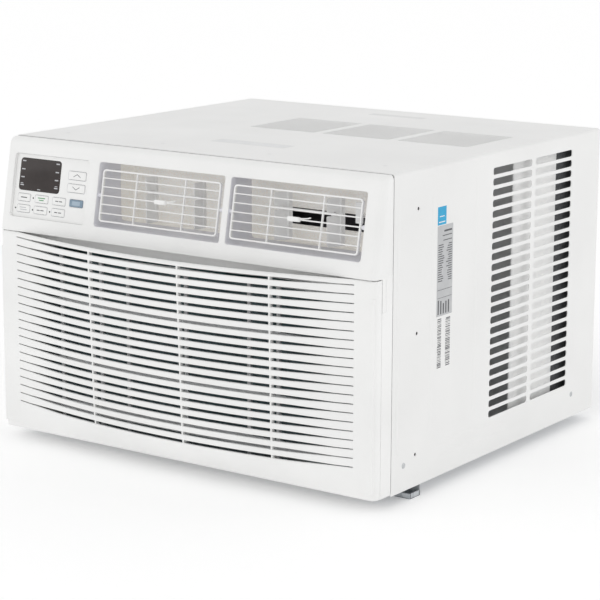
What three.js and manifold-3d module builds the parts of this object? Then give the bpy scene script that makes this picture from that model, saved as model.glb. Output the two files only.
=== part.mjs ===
// Window air conditioner: a room-side plastic front on a steel cabinet that holds the cooling chassis.
// Millimetres, +Z up, the room side faces -Y. All pieces are drawn in a working frame whose X is
// centred, whose y = 0 is the joint between the plastic front and the cabinet, and whose z = 0 is the
// cabinet's lower edge. The last lines move that frame so that the origin is the middle of the base.
import * as THREE from 'three';
import { mergeVertices } from 'three/addons/utils/BufferGeometryUtils.js';
import Module from 'manifold-3d';

const wasm = await Module();
wasm.setup();

// ---- driving dimensions -------------------------------------------------------------------------
const WIDTH = 660;                 // over the plastic front
const HALF = WIDTH / 2;
const CABINET_DEPTH = 572;
const CABINET_HEIGHT = 435;
const BOW_FRONT = 88;              // how far the bowed intake panel stands in front of the joint
const FOOT = 16;                   // height of the sill channel and the pressed rear feet
const SHEET = 1.6;                 // steel sheet
const PLASTIC = 2.6;               // moulded wall
const GAP = 0.4;                   // clearance between neighbours
const CABINET_HALF = HALF - 0.6;

const FACE_SLOPE = 0.19;           // the upper face leans back this much for each mm of height
const FACE_Y = -43;                // its lower edge
const FACE_Z = 301;
const LEAN = Math.atan(FACE_SLOPE);
const FACE_TOP = 428;
const CORNER = 10;                 // rounded upright corners of the front
const PANEL_SEAM = -27;            // joint between the hinged intake panel and the frame behind it
const PANEL_BOTTOM = 3;
const PANEL_TOP = 300;

const SLOTS = 21;                  // air slots in the intake panel
const SLOT_FIRST = 45.6;
const SLOT_PITCH = 12.32;
const SLOT_HEIGHT = 5.4;
const SLOT_HALF = 286;
const PANEL_RIBS = [-134, 30, 183];

const AXIS_X = 60;                 // fan shaft
const AXIS_Z = 200;
const SHAFT_R = 6;
const BULKHEAD_Y = 172;
const VENT_DEPTH = 20;             // where the two outlet throats end
const VENTS = {
  left: { x0: -151.5, x1: 72, ring: -40, turn: 0 },
  right: { x0: 82, x1: 303.5, ring: 191.8, turn: 30 },
};
const VENT_LOW = 21.5;             // up the leaning face, from its lower edge
const VENT_HIGH = 113.5;
const RING_WIDTH = 209.5;
const RING_HEIGHT = 74.6;
const RING_MID = 66.8;
const RIB_AT = 43;                 // upright ribs of a louvre frame and the vanes behind them
const RECESS = { x0: -312, x1: -170, low: 21, high: 113.5, depth: 5 };

const BUTTONS = {
  up: [-210.7, -178.2, 83.8, 95.4],
  down: [-210.7, -178.2, 65.6, 77.2],
  power: [-203.7, -179, 45.1, 55.3],
  mode: [-302.9, -279.5, 44.7, 55.2],
  energy_saver: [-269.6, -245.2, 44.7, 55.2],
  fan_speed: [-236.2, -212, 44.7, 55.2],
  clean_reset: [-302.6, -278.5, 28.5, 39],
  sleep: [-269.9, -245.4, 28.5, 39],
  timer: [-235.9, -211.8, 28.5, 39],
};

// ---- materials ----------------------------------------------------------------------------------
const paint = (color, roughness, metalness = 0) =>
  new THREE.MeshStandardMaterial({ color, roughness, metalness });
const WHITE_PLASTIC = paint(0xeeeeec, 0.45);
const GREY_PLASTIC = paint(0xb4b4b8, 0.5);
const WHITE_STEEL = paint(0xe4e4e4, 0.5, 0.2);
const GALVANISED = paint(0xa9adb0, 0.45, 0.8);
const ALUMINIUM = paint(0xb8bcc0, 0.4, 0.9);
const COPPER = paint(0xb4683c, 0.35, 1);
const BLACK = paint(0x202224, 0.6);
const RUBBER = paint(0x1c1c1c, 0.9);
const FOAM = paint(0xd8d4ca, 0.9);
const LENS = paint(0x463c3a, 0.15);
const BOARD_GREEN = paint(0x2d5a3a, 0.6);
const BLUE_GREY = paint(0x8296a5, 0.45);

// ---- solids: three.js geometry in, booleans, three.js geometry out --------------------------------
function toSolid(geometry) {
  const bare = geometry.clone();
  bare.deleteAttribute('normal');
  bare.deleteAttribute('uv');
  const merged = mergeVertices(bare, 1e-4);
  return new wasm.Manifold(new wasm.Mesh({
    numProp: 3,
    vertProperties: new Float32Array(merged.attributes.position.array),
    triVerts: new Uint32Array(merged.index.array),
  }));
}

function toGeometry(solid) {
  const mesh = solid.getMesh();
  const geometry = new THREE.BufferGeometry();
  geometry.setAttribute('position', new THREE.BufferAttribute(mesh.vertProperties, 3));
  geometry.setIndex(new THREE.BufferAttribute(mesh.triVerts, 1));
  return geometry;
}

const join = (first, ...others) => others.reduce((sum, next) => sum.add(next), first);
const cut = (first, ...tools) => tools.reduce((rest, tool) => rest.subtract(tool), first);

function box(x0, x1, y0, y1, z0, z1) {
  const geometry = new THREE.BoxGeometry(x1 - x0, y1 - y0, z1 - z0);
  geometry.translate((x0 + x1) / 2, (y0 + y1) / 2, (z0 + z1) / 2);
  return toSolid(geometry);
}

// A turned piece about the Y axis. Profile points are [radius, y], counter-clockwise, and the profile
// either starts and ends on the axis or is closed here.
function lathe(profile, sides) {
  const points = profile.map(([r, y]) => new THREE.Vector2(r, y));
  if (profile[0][0] > 0) points.push(points[0].clone());
  return new THREE.LatheGeometry(points, sides);
}

function turned(profile, x, z, sides = 24) {
  return toSolid(lathe(profile, sides).translate(x, 0, z));
}

// The same about an upright axis: profile points are [radius, z].
function upright(profile, x, y, sides = 20) {
  return toSolid(lathe(profile, sides).rotateX(Math.PI / 2).translate(x, y, 0));
}

const rodY = (x, z, r, y0, y1, sides = 16) => turned([[0, y0], [r, y0], [r, y1], [0, y1]], x, z, sides);
const rodZ = (x, y, r, z0, z1, sides = 16) => upright([[0, z0], [r, z0], [r, z1], [0, z1]], x, y, sides);

// A rod along X.
function rodX(y, z, r, x0, x1, sides = 12) {
  const geometry = new THREE.CylinderGeometry(r, r, x1 - x0, sides);
  geometry.rotateZ(Math.PI / 2);
  geometry.translate((x0 + x1) / 2, y, z);
  return toSolid(geometry);
}

// A prism along Y from an outline in X and Z.
function prismY(outline, y0, y1) {
  const shape = new THREE.Shape(outline.map(([x, z]) => new THREE.Vector2(x, z)));
  const geometry = new THREE.ExtrudeGeometry(shape, { depth: y1 - y0, bevelEnabled: false });
  geometry.rotateX(Math.PI / 2);
  geometry.translate(0, y1, 0);
  return toSolid(geometry);
}

// A solid through closed plan outlines stacked in Z, all with the same number of points.
function stacked(levels) {
  const count = levels[0].points.length;
  const vertices = [];
  for (const level of levels) {
    for (const [x, y] of level.points) vertices.push(x, y, level.z);
  }
  const faces = [];
  for (let k = 0; k + 1 < levels.length; k += 1) {
    for (let i = 0; i < count; i += 1) {
      const a = k * count + i;
      const b = k * count + (i + 1) % count;
      faces.push(a, b, b + count, a, b + count, a + count);
    }
  }
  const caps = (level) => THREE.ShapeUtils.triangulateShape(
    level.points.map(([x, y]) => new THREE.Vector2(x, y)), []);
  const top = (levels.length - 1) * count;
  for (const [a, b, c] of caps(levels[0])) faces.push(a, c, b);
  for (const [a, b, c] of caps(levels[levels.length - 1])) faces.push(top + a, top + b, top + c);
  const geometry = new THREE.BufferGeometry();
  geometry.setAttribute('position', new THREE.Float32BufferAttribute(vertices, 3));
  geometry.setIndex(faces);
  return toSolid(geometry);
}

// A pipe along a smooth line.
function pipe(points, radius, steps = 20) {
  const circle = new THREE.Shape();
  circle.absarc(0, 0, radius, 0, 2 * Math.PI, false);
  const path = new THREE.CatmullRomCurve3(points.map((p) => new THREE.Vector3(...p)), false, 'centripetal');
  return toSolid(new THREE.ExtrudeGeometry(circle, {
    steps, extrudePath: path, curveSegments: 4, bevelEnabled: false,
  }));
}

// ---- placing on the leaning face ------------------------------------------------------------------
// Local axes: x as the unit, y into the unit at right angles to the face, z up the face.
function onFace(solid) {
  return solid.rotate([-LEAN * 180 / Math.PI, 0, 0]).translate([0, FACE_Y, FACE_Z]);
}

const faceY = (z) => FACE_Y + FACE_SLOPE * (z - FACE_Z);
const upFace = (s) => FACE_Z + s * Math.cos(LEAN);

// ---- the exported group ---------------------------------------------------------------------------
const unit = new THREE.Group();
function add(name, solid, material) {
  const mesh = new THREE.Mesh(toGeometry(solid), material);
  mesh.name = name;
  unit.add(mesh);
}

// Plan outline of a front piece, from the right rear corner round the front to the left rear corner.
// inset moves the whole outline inwards; bow is how far the middle stands out.
function frontOutline({ rear, face, half, bow = 0, inset = 0, corner = CORNER, steps = 6 }) {
  const flat = 298;
  const y = face + inset;
  const x = half - inset;
  const r = Math.max(0.5, Math.min(corner - inset, rear - y - 0.2));
  const points = [[-x, rear]];
  for (let i = 0; i <= 3; i += 1) {
    const a = Math.PI + i * Math.PI / 6;
    points.push([-x + r + r * Math.cos(a), y + r + r * Math.sin(a)]);
  }
  for (let i = 0; i <= steps; i += 1) {
    const along = -1 + 2 * i / steps;
    points.push([along * (flat - inset), y - bow * (1 - along * along)]);
  }
  for (let i = 0; i <= 3; i += 1) {
    const a = -Math.PI / 2 + i * Math.PI / 6;
    points.push([x - r + r * Math.cos(a), y + r + r * Math.sin(a)]);
  }
  points.push([x, rear]);
  return points;
}

// ---- hinged intake panel ----------------------------------------------------------------------------
// Heights with the straight part's place and the bow at that height.
const PANEL_LEVELS = [
  [PANEL_BOTTOM, -40, 0], [20, -41.4, 18], [40, -42, 35], [296, -42, 46], [PANEL_TOP, -40, 40],
];

function panelBody(inset, lowest, highest) {
  const levels = PANEL_LEVELS.map(([z, face, bow]) => ({
    z: Math.min(Math.max(z, lowest), highest),
    points: frontOutline({ rear: PANEL_SEAM - 0.3 + (inset ? 1 : 0), face, half: HALF, bow, inset }),
  }));
  levels[0].z = lowest;
  levels[levels.length - 1].z = highest;
  return stacked(levels);
}

function intakeGrille() {
  const outer = panelBody(0, PANEL_BOTTOM, PANEL_TOP);
  let panel = cut(outer, panelBody(3, PANEL_BOTTOM + 3, PANEL_TOP + 1));
  for (let i = 0; i < SLOTS; i += 1) {
    const z = SLOT_FIRST + i * SLOT_PITCH;
    panel = cut(panel, box(-SLOT_HALF, SLOT_HALF, -95, -35, z - SLOT_HEIGHT / 2, z + SLOT_HEIGHT / 2));
  }
  const skin = cut(outer, panelBody(8, PANEL_BOTTOM - 1, PANEL_TOP + 1));
  for (const x of PANEL_RIBS) {
    const rib = box(x - 1.2, x + 1.2, -95, -30, 38, 297).intersect(skin);
    panel = join(panel, rib);
  }
  for (const side of [-1, 1]) {
    const x = side * 304;
    const rail = box(Math.min(x, x - side * 12), Math.max(x, x - side * 12), -41, -38.6, 12, 276);
    const web = box(Math.min(x, x + side * 24), Math.max(x, x + side * 24), -41, -38.6, 12, 276);
    panel = join(panel, rail, web);
  }
  return panel;
}

const FILTER = { half: 300, front: -36.6, back: -30, low: 14, high: 278, border: 10 };
const FILTER_BARS_Z = [82, 145, 218];
const FILTER_BARS_X = [-200, -100, 0, 100, 200];
const FILTER_BAR = 1.5;            // half the width of a bar

function airFilter() {
  const { half, front, back, low, high, border } = FILTER;
  const open = half - border;
  const reach = open + 1;
  const frame = cut(
    box(-half, half, front, back, low, high),
    box(-open, open, front - 1, back + 1, low + border - 2, high - border),
  );
  const mesh = box(-reach, reach, -35, -33.6, low + 7, high - 9);
  let filter = join(frame, mesh);
  for (const z of FILTER_BARS_Z) {
    filter = join(filter, box(-reach, reach, front + 0.2, -32, z - FILTER_BAR, z + FILTER_BAR));
  }
  for (const x of FILTER_BARS_X) {
    filter = join(filter, box(x - FILTER_BAR, x + FILTER_BAR, front + 0.4, -32, low + 7, high - 9));
  }
  return join(filter, box(-20, 20, front + 0.4, -33, high - 1, high + 6));
}

// ---- fixed front frame --------------------------------------------------------------------------------
const UPPER_LEVELS = [
  [300.8, 0], [345, 0], [390, 0], [FACE_TOP, 0], [430.8, 1.2], [432.8, 3.6], [434, 7],
];

function upperBody(inset, lowest, rear) {
  return stacked(UPPER_LEVELS.map(([z, round]) => ({
    z: Math.max(z - (z > FACE_TOP ? inset : 0), lowest),
    points: frontOutline({
      rear, face: faceY(z) + round * 1.3, half: HALF - round, inset, steps: 1,
    }),
  })));
}

function frontBezel() {
  let bezel = cut(upperBody(0, 300.8, 0), upperBody(PLASTIC, 300.8 + PLASTIC, 1));
  const side = (x0, x1) => box(x0, x1, PANEL_SEAM + 0.3, 0, PANEL_BOTTOM, 302);
  const seat = cut(
    box(-HALF + 1, HALF - 1, -8, -5.4, 4, 284),
    box(-296, 296, -9, -5, 20, 272),
  );
  bezel = join(
    bezel,
    side(-HALF, -HALF + PLASTIC),
    side(HALF - PLASTIC, HALF),
    box(-HALF + 1, HALF - 1, PANEL_SEAM + 0.3, 0, PANEL_BOTTOM, PANEL_BOTTOM + PLASTIC),
    box(-HALF + 1, HALF - 1, -25, -25 + PLASTIC, 282, 302),
    box(-HALF + 1, HALF - 1, -25, -6, 282, 282 + PLASTIC),
    seat,
  );
  for (const x of [-HALF - 1, HALF - 6]) bezel = cut(bezel, box(x, x + 7, -30, -18, 256, 281));
  for (const { x0, x1 } of Object.values(VENTS)) {
    const low = upFace(VENT_LOW);
    const high = upFace(VENT_HIGH);
    const throat = cut(
      box(x0 - 2, x1 + 2, -60, VENT_DEPTH, low - 2, high + 2),
      prismSide([[-70, low - 30], [-70, high + 30], [faceY(high + 30) + 1, high + 30],
        [faceY(low - 30) + 1, low - 30]], x0 - 10, x1 + 10),
    );
    bezel = cut(join(bezel, throat), box(x0, x1, -70, VENT_DEPTH + 1, low, high));
    const middle = (x0 + x1) / 2;
    const half = (x1 - x0) / 2 + 1;
    bezel = join(
      bezel,
      box(middle - half, middle + half, VENT_DEPTH - 6, VENT_DEPTH, low - 1, low + 5),
      box(middle - half, middle + half, VENT_DEPTH - 6, VENT_DEPTH, 394, 398),
    );
  }
  const { x0, x1, low, high, depth } = RECESS;
  const tray = cut(
    box(x0 - 2, x1 + 2, 1, depth + 5, low - 2, high + 2),
    box(x0 + 3, x1 - 3, 0, 20, low + 3, high - 3),
  );
  bezel = join(bezel, onFace(tray));
  return cut(bezel, onFace(box(x0, x1, -5, depth + 2.4, low, high)));
}

// A prism along X from an outline in Y and Z.
function prismSide(outline, x0, x1) {
  const shape = new THREE.Shape(outline.map(([y, z]) => new THREE.Vector2(y, z)));
  const geometry = new THREE.ExtrudeGeometry(shape, { depth: x1 - x0, bevelEnabled: false });
  geometry.rotateX(Math.PI / 2);
  geometry.rotateZ(Math.PI / 2);
  geometry.translate(x0, 0, 0);
  return toSolid(geometry);
}

add('front_bezel', frontBezel(), WHITE_PLASTIC);
add('intake_grille', intakeGrille(), WHITE_PLASTIC);
add('air_filter', airFilter(), GREY_PLASTIC);

// ---- controls -------------------------------------------------------------------------------------------
const PANEL_FACE = RECESS.depth;
const DISPLAY = [-303.9, -226.2, 60.6, 107.4];

function controlPanel() {
  const { x0, x1, low, high } = RECESS;
  let plate = box(x0 + GAP, x1 - GAP, PANEL_FACE, PANEL_FACE + 2, low + GAP, high - GAP);
  for (const [a, b, c, d] of [DISPLAY, ...Object.values(BUTTONS)]) {
    plate = cut(plate, box(a - GAP, b + GAP, PANEL_FACE - 1, PANEL_FACE + 3, c - GAP, d + GAP));
  }
  return onFace(plate);
}

add('control_panel', controlPanel(), WHITE_PLASTIC);

function displayLens() {
  const [x0, x1, low, high] = DISPLAY;
  return onFace(box(x0, x1, PANEL_FACE - 0.3, PANEL_FACE + 2, low, high));
}

add('display_lens', displayLens(), LENS);
for (const [name, [a, b, c, d]] of Object.entries(BUTTONS)) {
  const cap = box(a, b, PANEL_FACE - 0.8, PANEL_FACE + 4, c, d);
  add(`button_${name}`, onFace(cap), name === 'power' ? BLUE_GREY : WHITE_PLASTIC);
}

function controlBoard() {
  const board = box(RECESS.x0 + 4, RECESS.x1 - 4, 16, 17.6, RECESS.low + 3, RECESS.high - 3);
  return onFace(join(
    board,
    box(-300, -230, 12, 16.5, 64, 104),
    box(-200, -180, 17, 29, 30, 55),
    box(-240, -222, 17, 27, 60, 84),
  ));
}

add('control_board', controlBoard(), BOARD_GREEN);

function controlBox() {
  return cut(
    box(-320, -166, 24, 150, 306, 426),
    box(-318, -168, 20, 148, 308, 424),
  );
}

add('control_box', controlBox(), GALVANISED);
add('run_capacitor', rodY(-280, 345, 22, 40, 120, 18), ALUMINIUM);

// ---- outlet louvres ---------------------------------------------------------------------------------------
function louverFrame(centre) {
  const w = RING_WIDTH / 2;
  const h = RING_HEIGHT / 2;
  const rim = 2.4;
  let frame = cut(
    box(-w, w, 0, 10, -h, h),
    box(-w + rim, w - rim, -1, 11, -h + rim, h - rim),
  );
  for (let i = 1; i <= 5; i += 1) {
    const z = -h + i * RING_HEIGHT / 6;
    frame = join(frame, box(-w + 1, w - 1, 0.5, 9.5, z - 1, z + 1));
  }
  for (const x of [-RIB_AT, RIB_AT]) frame = join(frame, box(x - 1, x + 1, 1, 9, -h + 1, h - 1));
  frame = join(frame, box(-11, 11, -4, 3, -3, 3));
  const pin = 5;
  frame = join(frame, rodX(5, 0, 3, -w - pin, -w + 2), rodX(5, 0, 3, w - 2, w + pin));
  return onFace(frame.translate([centre, 1, RING_MID]));
}

const VANE_PIVOT_Y = 17;
const VANE_FRONT = 21;             // from the pivot to the front edge
const VANE_BACK = 6;
const VANE_LOW = 327.8;
const VANE_HIGH = 393.5;
const TIE_REACH = 12;              // from the pivot to the tie bar
const TIE_Z = 372;

function vane(x, turn) {
  const blade = join(
    box(-0.9, 0.9, -VANE_FRONT, VANE_BACK, VANE_LOW, VANE_HIGH),
    rodZ(0, 0, 2.2, VANE_LOW, VANE_HIGH, 10),
  );
  const notch = box(-6, 6, -VANE_FRONT - 1, -TIE_REACH + 4, TIE_Z - 3, TIE_Z + 3);
  return cut(blade, notch).rotate([0, 0, -turn]).translate([x, VANE_PIVOT_Y, 0]);
}

// The bar lies in the vanes' notches and ends in a curled finger.
function tieBar(centre, turn) {
  const a = turn * Math.PI / 180;
  const x = centre - TIE_REACH * Math.sin(a);
  const y = VANE_PIVOT_Y - TIE_REACH * Math.cos(a);
  return box(x - RIB_AT - 6, x + RIB_AT + 6, y - 1.2, y + 1.2, TIE_Z - 2, TIE_Z + 2);
}

for (const [side, { ring, turn }] of Object.entries(VENTS)) {
  add(`louver_frame_${side}`, louverFrame(ring), WHITE_PLASTIC);
  add(`vane_${side}_1`, vane(ring - RIB_AT, turn), WHITE_PLASTIC);
  add(`vane_${side}_2`, vane(ring + RIB_AT, turn), WHITE_PLASTIC);
  add(`vane_tie_bar_${side}`, tieBar(ring, turn), WHITE_PLASTIC);
}

const DUCT = { x0: -160, x1: 312, y0: VENT_DEPTH + 0.6, y1: 62, z0: 314, z1: 422 };
const OUTLET = [110, 248, 336, 376];   // hole between the blower and the duct, x then z

function dischargeDuct() {
  const { x0, x1, y0, y1, z0, z1 } = DUCT;
  return cut(
    box(x0, x1, y0, y1, z0, z1),
    box(x0 + 5, x1 - 5, y0 - 1, y1 - 5, z0 + 5, z1 - 5),
    box(OUTLET[0], OUTLET[1], y0, y1 + 1, OUTLET[2], OUTLET[3]),
    box(268, 276, y0, y1 + 1, 368, 376),
  );
}

add('discharge_duct', dischargeDuct(), FOAM);

// ---- fresh-air door and its push rod ------------------------------------------------------------------------
const DOOR = { x0: 262, x1: 312, z0: 334, z1: 396 };

const LEVER_TIP = BULKHEAD_Y + 1.4; // short of the door, which then clears it all through the swing

function freshAirLever() {
  return join(
    rodY(272, 372, 2.4, 6, LEVER_TIP, 10),
    box(267, 277, 4, 7.5, 364, 392),
  );
}

add('fresh_air_lever', freshAirLever(), WHITE_PLASTIC);
add(
  'fresh_air_door',
  box(DOOR.x0, DOOR.x1, BULKHEAD_Y + 3.6, BULKHEAD_Y + 5.2, DOOR.z0, DOOR.z1),
  GALVANISED,
);

// ---- indoor side: coil, tray and blower ---------------------------------------------------------------
function finPack(x0, x1, y0, y1, z0, z1, fins) {
  let pack = box(x0, x1, y0 + 3, y1 - 3, z0, z1);
  for (let i = 0; i < fins; i += 1) {
    const x = x0 + (x1 - x0 - 3) * i / (fins - 1);
    pack = join(pack, box(x, x + 3, y0, y1, z0, z1));
  }
  return pack;
}

add('evaporator_coil', finPack(-288, 288, 10, 52, 22, 276, 13), ALUMINIUM);
for (const [side, x] of [['left', -291.5], ['right', 288.4]]) {
  add(`evaporator_end_plate_${side}`, box(x, x + 3, 8, 54, 20, 278), GALVANISED);
}
add('drain_tray', cut(box(-300, 300, 4.2, 60, 2.6, 19.6), box(-296, 296, 8, 56, 8, 30)), FOAM);

// The scroll grows clockwise, seen from the room, from the cutoff to the outlet at the top right.
const SCROLL_START = 138;
const SCROLL_GROWTH = 66;
const HOUSING_Y0 = 66;
const HOUSING_Y1 = 166;

function scrollOutline(inset) {
  const points = [];
  const steps = 16;
  for (let i = 0; i <= steps; i += 1) {
    const turn = i / steps * 290;
    const a = (20 - turn) * Math.PI / 180;
    const r = SCROLL_START + SCROLL_GROWTH * turn / 290 - inset;
    points.push([AXIS_X + r * Math.cos(a), AXIS_Z + r * Math.sin(a)]);
  }
  points.push([254 - inset, AXIS_Z + SCROLL_START + SCROLL_GROWTH - inset]);
  points.push([254 - inset, 330 + inset]);
  return points.reverse();
}

function blowerHousing() {
  return cut(
    prismY(scrollOutline(0), HOUSING_Y0, HOUSING_Y1),
    prismY(scrollOutline(3), HOUSING_Y0 + 3, HOUSING_Y1 - 3),
    rodY(AXIS_X, AXIS_Z, 98, HOUSING_Y0 - 5, HOUSING_Y0 + 10, 32),
    rodY(AXIS_X, AXIS_Z, 24, HOUSING_Y1 - 10, HOUSING_Y1 + 5),
    box(OUTLET[0], OUTLET[1], HOUSING_Y0 - 5, HOUSING_Y0 + 10, OUTLET[2], OUTLET[3]),
  );
}

add('blower_housing', blowerHousing(), FOAM);

const ORIFICE = [[98.5, 57], [112, 57], [112, 65.4], [108, 65.4], [98.5, 61]];
add('orifice_ring', turned(ORIFICE, AXIS_X, AXIS_Z, 32), BLACK);

// A plain ring about the fan axis.
const collar = (inner, outer, y0, y1, sides) => turned(
  [[inner, y0], [outer, y0], [outer, y1], [inner, y1]], AXIS_X, AXIS_Z, sides);

function blowerWheel() {
  const y0 = HOUSING_Y0 + 8;
  const y1 = HOUSING_Y1 - 8;
  const rim = 118;
  const bore = SHAFT_R + GAP;
  let wheel = join(
    collar(bore, rim, y1 - 3, y1, 28),
    collar(rim - 10, rim, y0, y0 + 3, 28),
    collar(bore, 16, y1 - 34, y1 - 1, 16),
  );
  const blades = 16;
  for (let i = 0; i < blades; i += 1) {
    const blade = box(104, 117, y0 + 1, y1 - 1, -0.8, 0.8)
      .translate([-110.5, 0, 0]).rotate([0, 32, 0]).translate([110.5, 0, 0])
      .rotate([0, 360 * i / blades, 0]).translate([AXIS_X, 0, AXIS_Z]);
    wheel = join(wheel, blade);
  }
  return wheel;
}

add('blower_wheel', blowerWheel(), BLACK);

// ---- bulkhead, motor, shaft and outdoor fan -----------------------------------------------------------
function bulkhead() {
  return cut(
    box(-325, 325, BULKHEAD_Y, BULKHEAD_Y + 2, 5, 431),
    rodY(AXIS_X, AXIS_Z, 26, BULKHEAD_Y - 5, BULKHEAD_Y + 5),
    box(DOOR.x0 + 4, DOOR.x1 - 4, BULKHEAD_Y - 5, BULKHEAD_Y + 5, DOOR.z0 + 4, DOOR.z1 - 4),
    rodY(-306, 240, 9, BULKHEAD_Y - 5, BULKHEAD_Y + 5, 12),
    rodY(-306, 60, 7, BULKHEAD_Y - 5, BULKHEAD_Y + 5, 12),
  );
}

add('bulkhead', bulkhead(), GALVANISED);

const MOTOR_R = 62;
const MOTOR = [
  [SHAFT_R + GAP, 180], [20, 180], [22, 190], [48, 190], [MOTOR_R, 200], [MOTOR_R, 276], [48, 286],
  [22, 286], [20, 296], [SHAFT_R + GAP, 296],
];
add('fan_motor', turned(MOTOR, AXIS_X, AXIS_Z, 20), BLACK);

function motorBracket() {
  const gapR = MOTOR_R + GAP;
  const strap = cut(
    turned([[gapR, 222], [gapR + 3, 222], [gapR + 3, 254], [gapR, 254]], AXIS_X, AXIS_Z, 28),
    box(-100, 300, 200, 280, AXIS_Z, 400),
  );
  const leg = (x0) => box(x0, x0 + 3, 214, 262, 6, AXIS_Z);
  return join(
    strap,
    leg(AXIS_X - gapR - 3),
    leg(AXIS_X + gapR),
    box(AXIS_X - gapR - 22, AXIS_X + gapR + 22, 214, 262, 5, 8),
  );
}

add('motor_bracket', motorBracket(), GALVANISED);
add('fan_shaft', rodY(AXIS_X, AXIS_Z, SHAFT_R, 96, 446, 12), ALUMINIUM);

const FAN_Y = 418;
const FAN_RING = 178;

function condenserFan() {
  let fan = join(
    collar(SHAFT_R + GAP, 34, FAN_Y - 18, FAN_Y + 18, 20),
    collar(FAN_RING - 4, FAN_RING, FAN_Y + 8, FAN_Y + 24, 36),
  );
  const blades = 5;
  for (let i = 0; i < blades; i += 1) {
    fan = join(fan, fanBlade().rotate([0, 360 * i / blades, 0]).translate([AXIS_X, FAN_Y, AXIS_Z]));
  }
  return fan;
}

// One blade, twisted from root to tip; the section turns about the radial line, which is +Z here.
function fanBlade() {
  const stations = 5;
  const levels = [];
  for (let k = 0; k < stations; k += 1) {
    const t = k / (stations - 1);
    const pitch = (42 - 20 * t) * Math.PI / 180;
    const chord = 34 + 26 * t;
    const sweep = 0.16 * chord * t;
    const points = [[-chord, -1.2], [chord, -1.2], [chord, 1.2], [-chord, 1.2]].map(([u, v]) => [
      (u + sweep) * Math.cos(pitch) - v * Math.sin(pitch),
      ((u + sweep) * Math.sin(pitch) + v * Math.cos(pitch)) * 0.62,
    ]);
    levels.push({ z: 26 + (FAN_RING - 28) * t, points });
  }
  return stacked(levels);
}

add('condenser_fan', condenserFan(), BLACK);

function condenserShroud() {
  return cut(
    box(-304, 304, 384, 518, 6, 428),
    box(-302, 302, 386, 519, 4, 426),
    rodY(AXIS_X, AXIS_Z, FAN_RING + 8, 380, 390, 40),
  );
}

add('condenser_shroud', condenserShroud(), GALVANISED);
add('condenser_coil', finPack(-300, 300, 521, 557, 8, 424, 13), ALUMINIUM);
for (const [side, x] of [['left', -303.5], ['right', 300.5]]) {
  add(`condenser_end_plate_${side}`, box(x, x + 3, 519, 559, 6, 426), GALVANISED);
}

// ---- sealed system ------------------------------------------------------------------------------------
const COMPRESSOR = { x: -210, y: 282, r: 64, z0: 32, z1: 262 };

function compressor() {
  const { x, y, r, z0, z1 } = COMPRESSOR;
  const can = upright([
    [0, z0], [r * 0.6, z0], [r * 0.92, z0 + 10], [r, z0 + 24], [r, z1 - 34], [r * 0.92, z1 - 16],
    [r * 0.6, z1 - 4], [0, z1],
  ], x, y, 20);
  let feet = can;
  for (let i = 0; i < 3; i += 1) {
    const a = (90 + i * 120) * Math.PI / 180;
    const [cx, cy] = [x + 72 * Math.cos(a), y + 72 * Math.sin(a)];
    feet = join(feet, rodZ(cx, cy, 16, z0 + 2, z0 + 5, 12));
    const arm = box(0, 72, -14, 14, z0 + 2, z0 + 5).rotate([0, 0, 90 + i * 120]).translate([x, y, 0]);
    feet = join(feet, arm);
  }
  return feet;
}

add('compressor', compressor(), BLACK);
for (let i = 0; i < 3; i += 1) {
  const a = (90 + i * 120) * Math.PI / 180;
  const { x, y, z0 } = COMPRESSOR;
  const [cx, cy] = [x + 72 * Math.cos(a), y + 72 * Math.sin(a)];
  add(`compressor_grommet_${i + 1}`, rodZ(cx, cy, 13, 4.2, z0 + 1.6, 14), RUBBER);
}
add('terminal_cover', box(-145.4, -128, 262, 302, 140, 190), BLACK);

const ACCUMULATOR = { x: -105, y: 330, r: 24 };
add('accumulator', upright([
  [0, 90], [14, 90], [24, 102], [24, 210], [14, 222], [0, 222],
], ACCUMULATOR.x, ACCUMULATOR.y, 16), BLACK);

add('suction_tube', pipe([
  [-292.5, 31, 240], [-300, 31, 240], [-308, 60, 240], [-306, 140, 240], [-306, 210, 242],
  [-300, 300, 300],
  [-250, 350, 330], [-150, 345, 320], [ACCUMULATOR.x, ACCUMULATOR.y, 290],
  [ACCUMULATOR.x, ACCUMULATOR.y, 222.5],
], 6, 24), COPPER);
add('discharge_tube', pipe([
  [-190, 282, 262], [-190, 282, 300], [-220, 300, 345], [-280, 350, 375], [-315, 390, 385], [-316, 470, 385],
  [-316, 530, 382], [-312, 542, 380], [-305, 542, 380],
], 4.5, 20), COPPER);
add('liquid_tube', pipe([
  [-305, 542, 60], [-312, 542, 60], [-316, 530, 60], [-316, 470, 60], [-316, 300, 60],
  [-308, 200, 60], [-306, 140, 60],
  [-306, 60, 60], [-300, 31, 60], [-292.5, 31, 60],
], 3, 18), COPPER);

// ---- cabinet, base pan and sill channel ---------------------------------------------------------------
const SIDE_ROWS = 24;
const SIDE_PITCH = 15.2;

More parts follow.
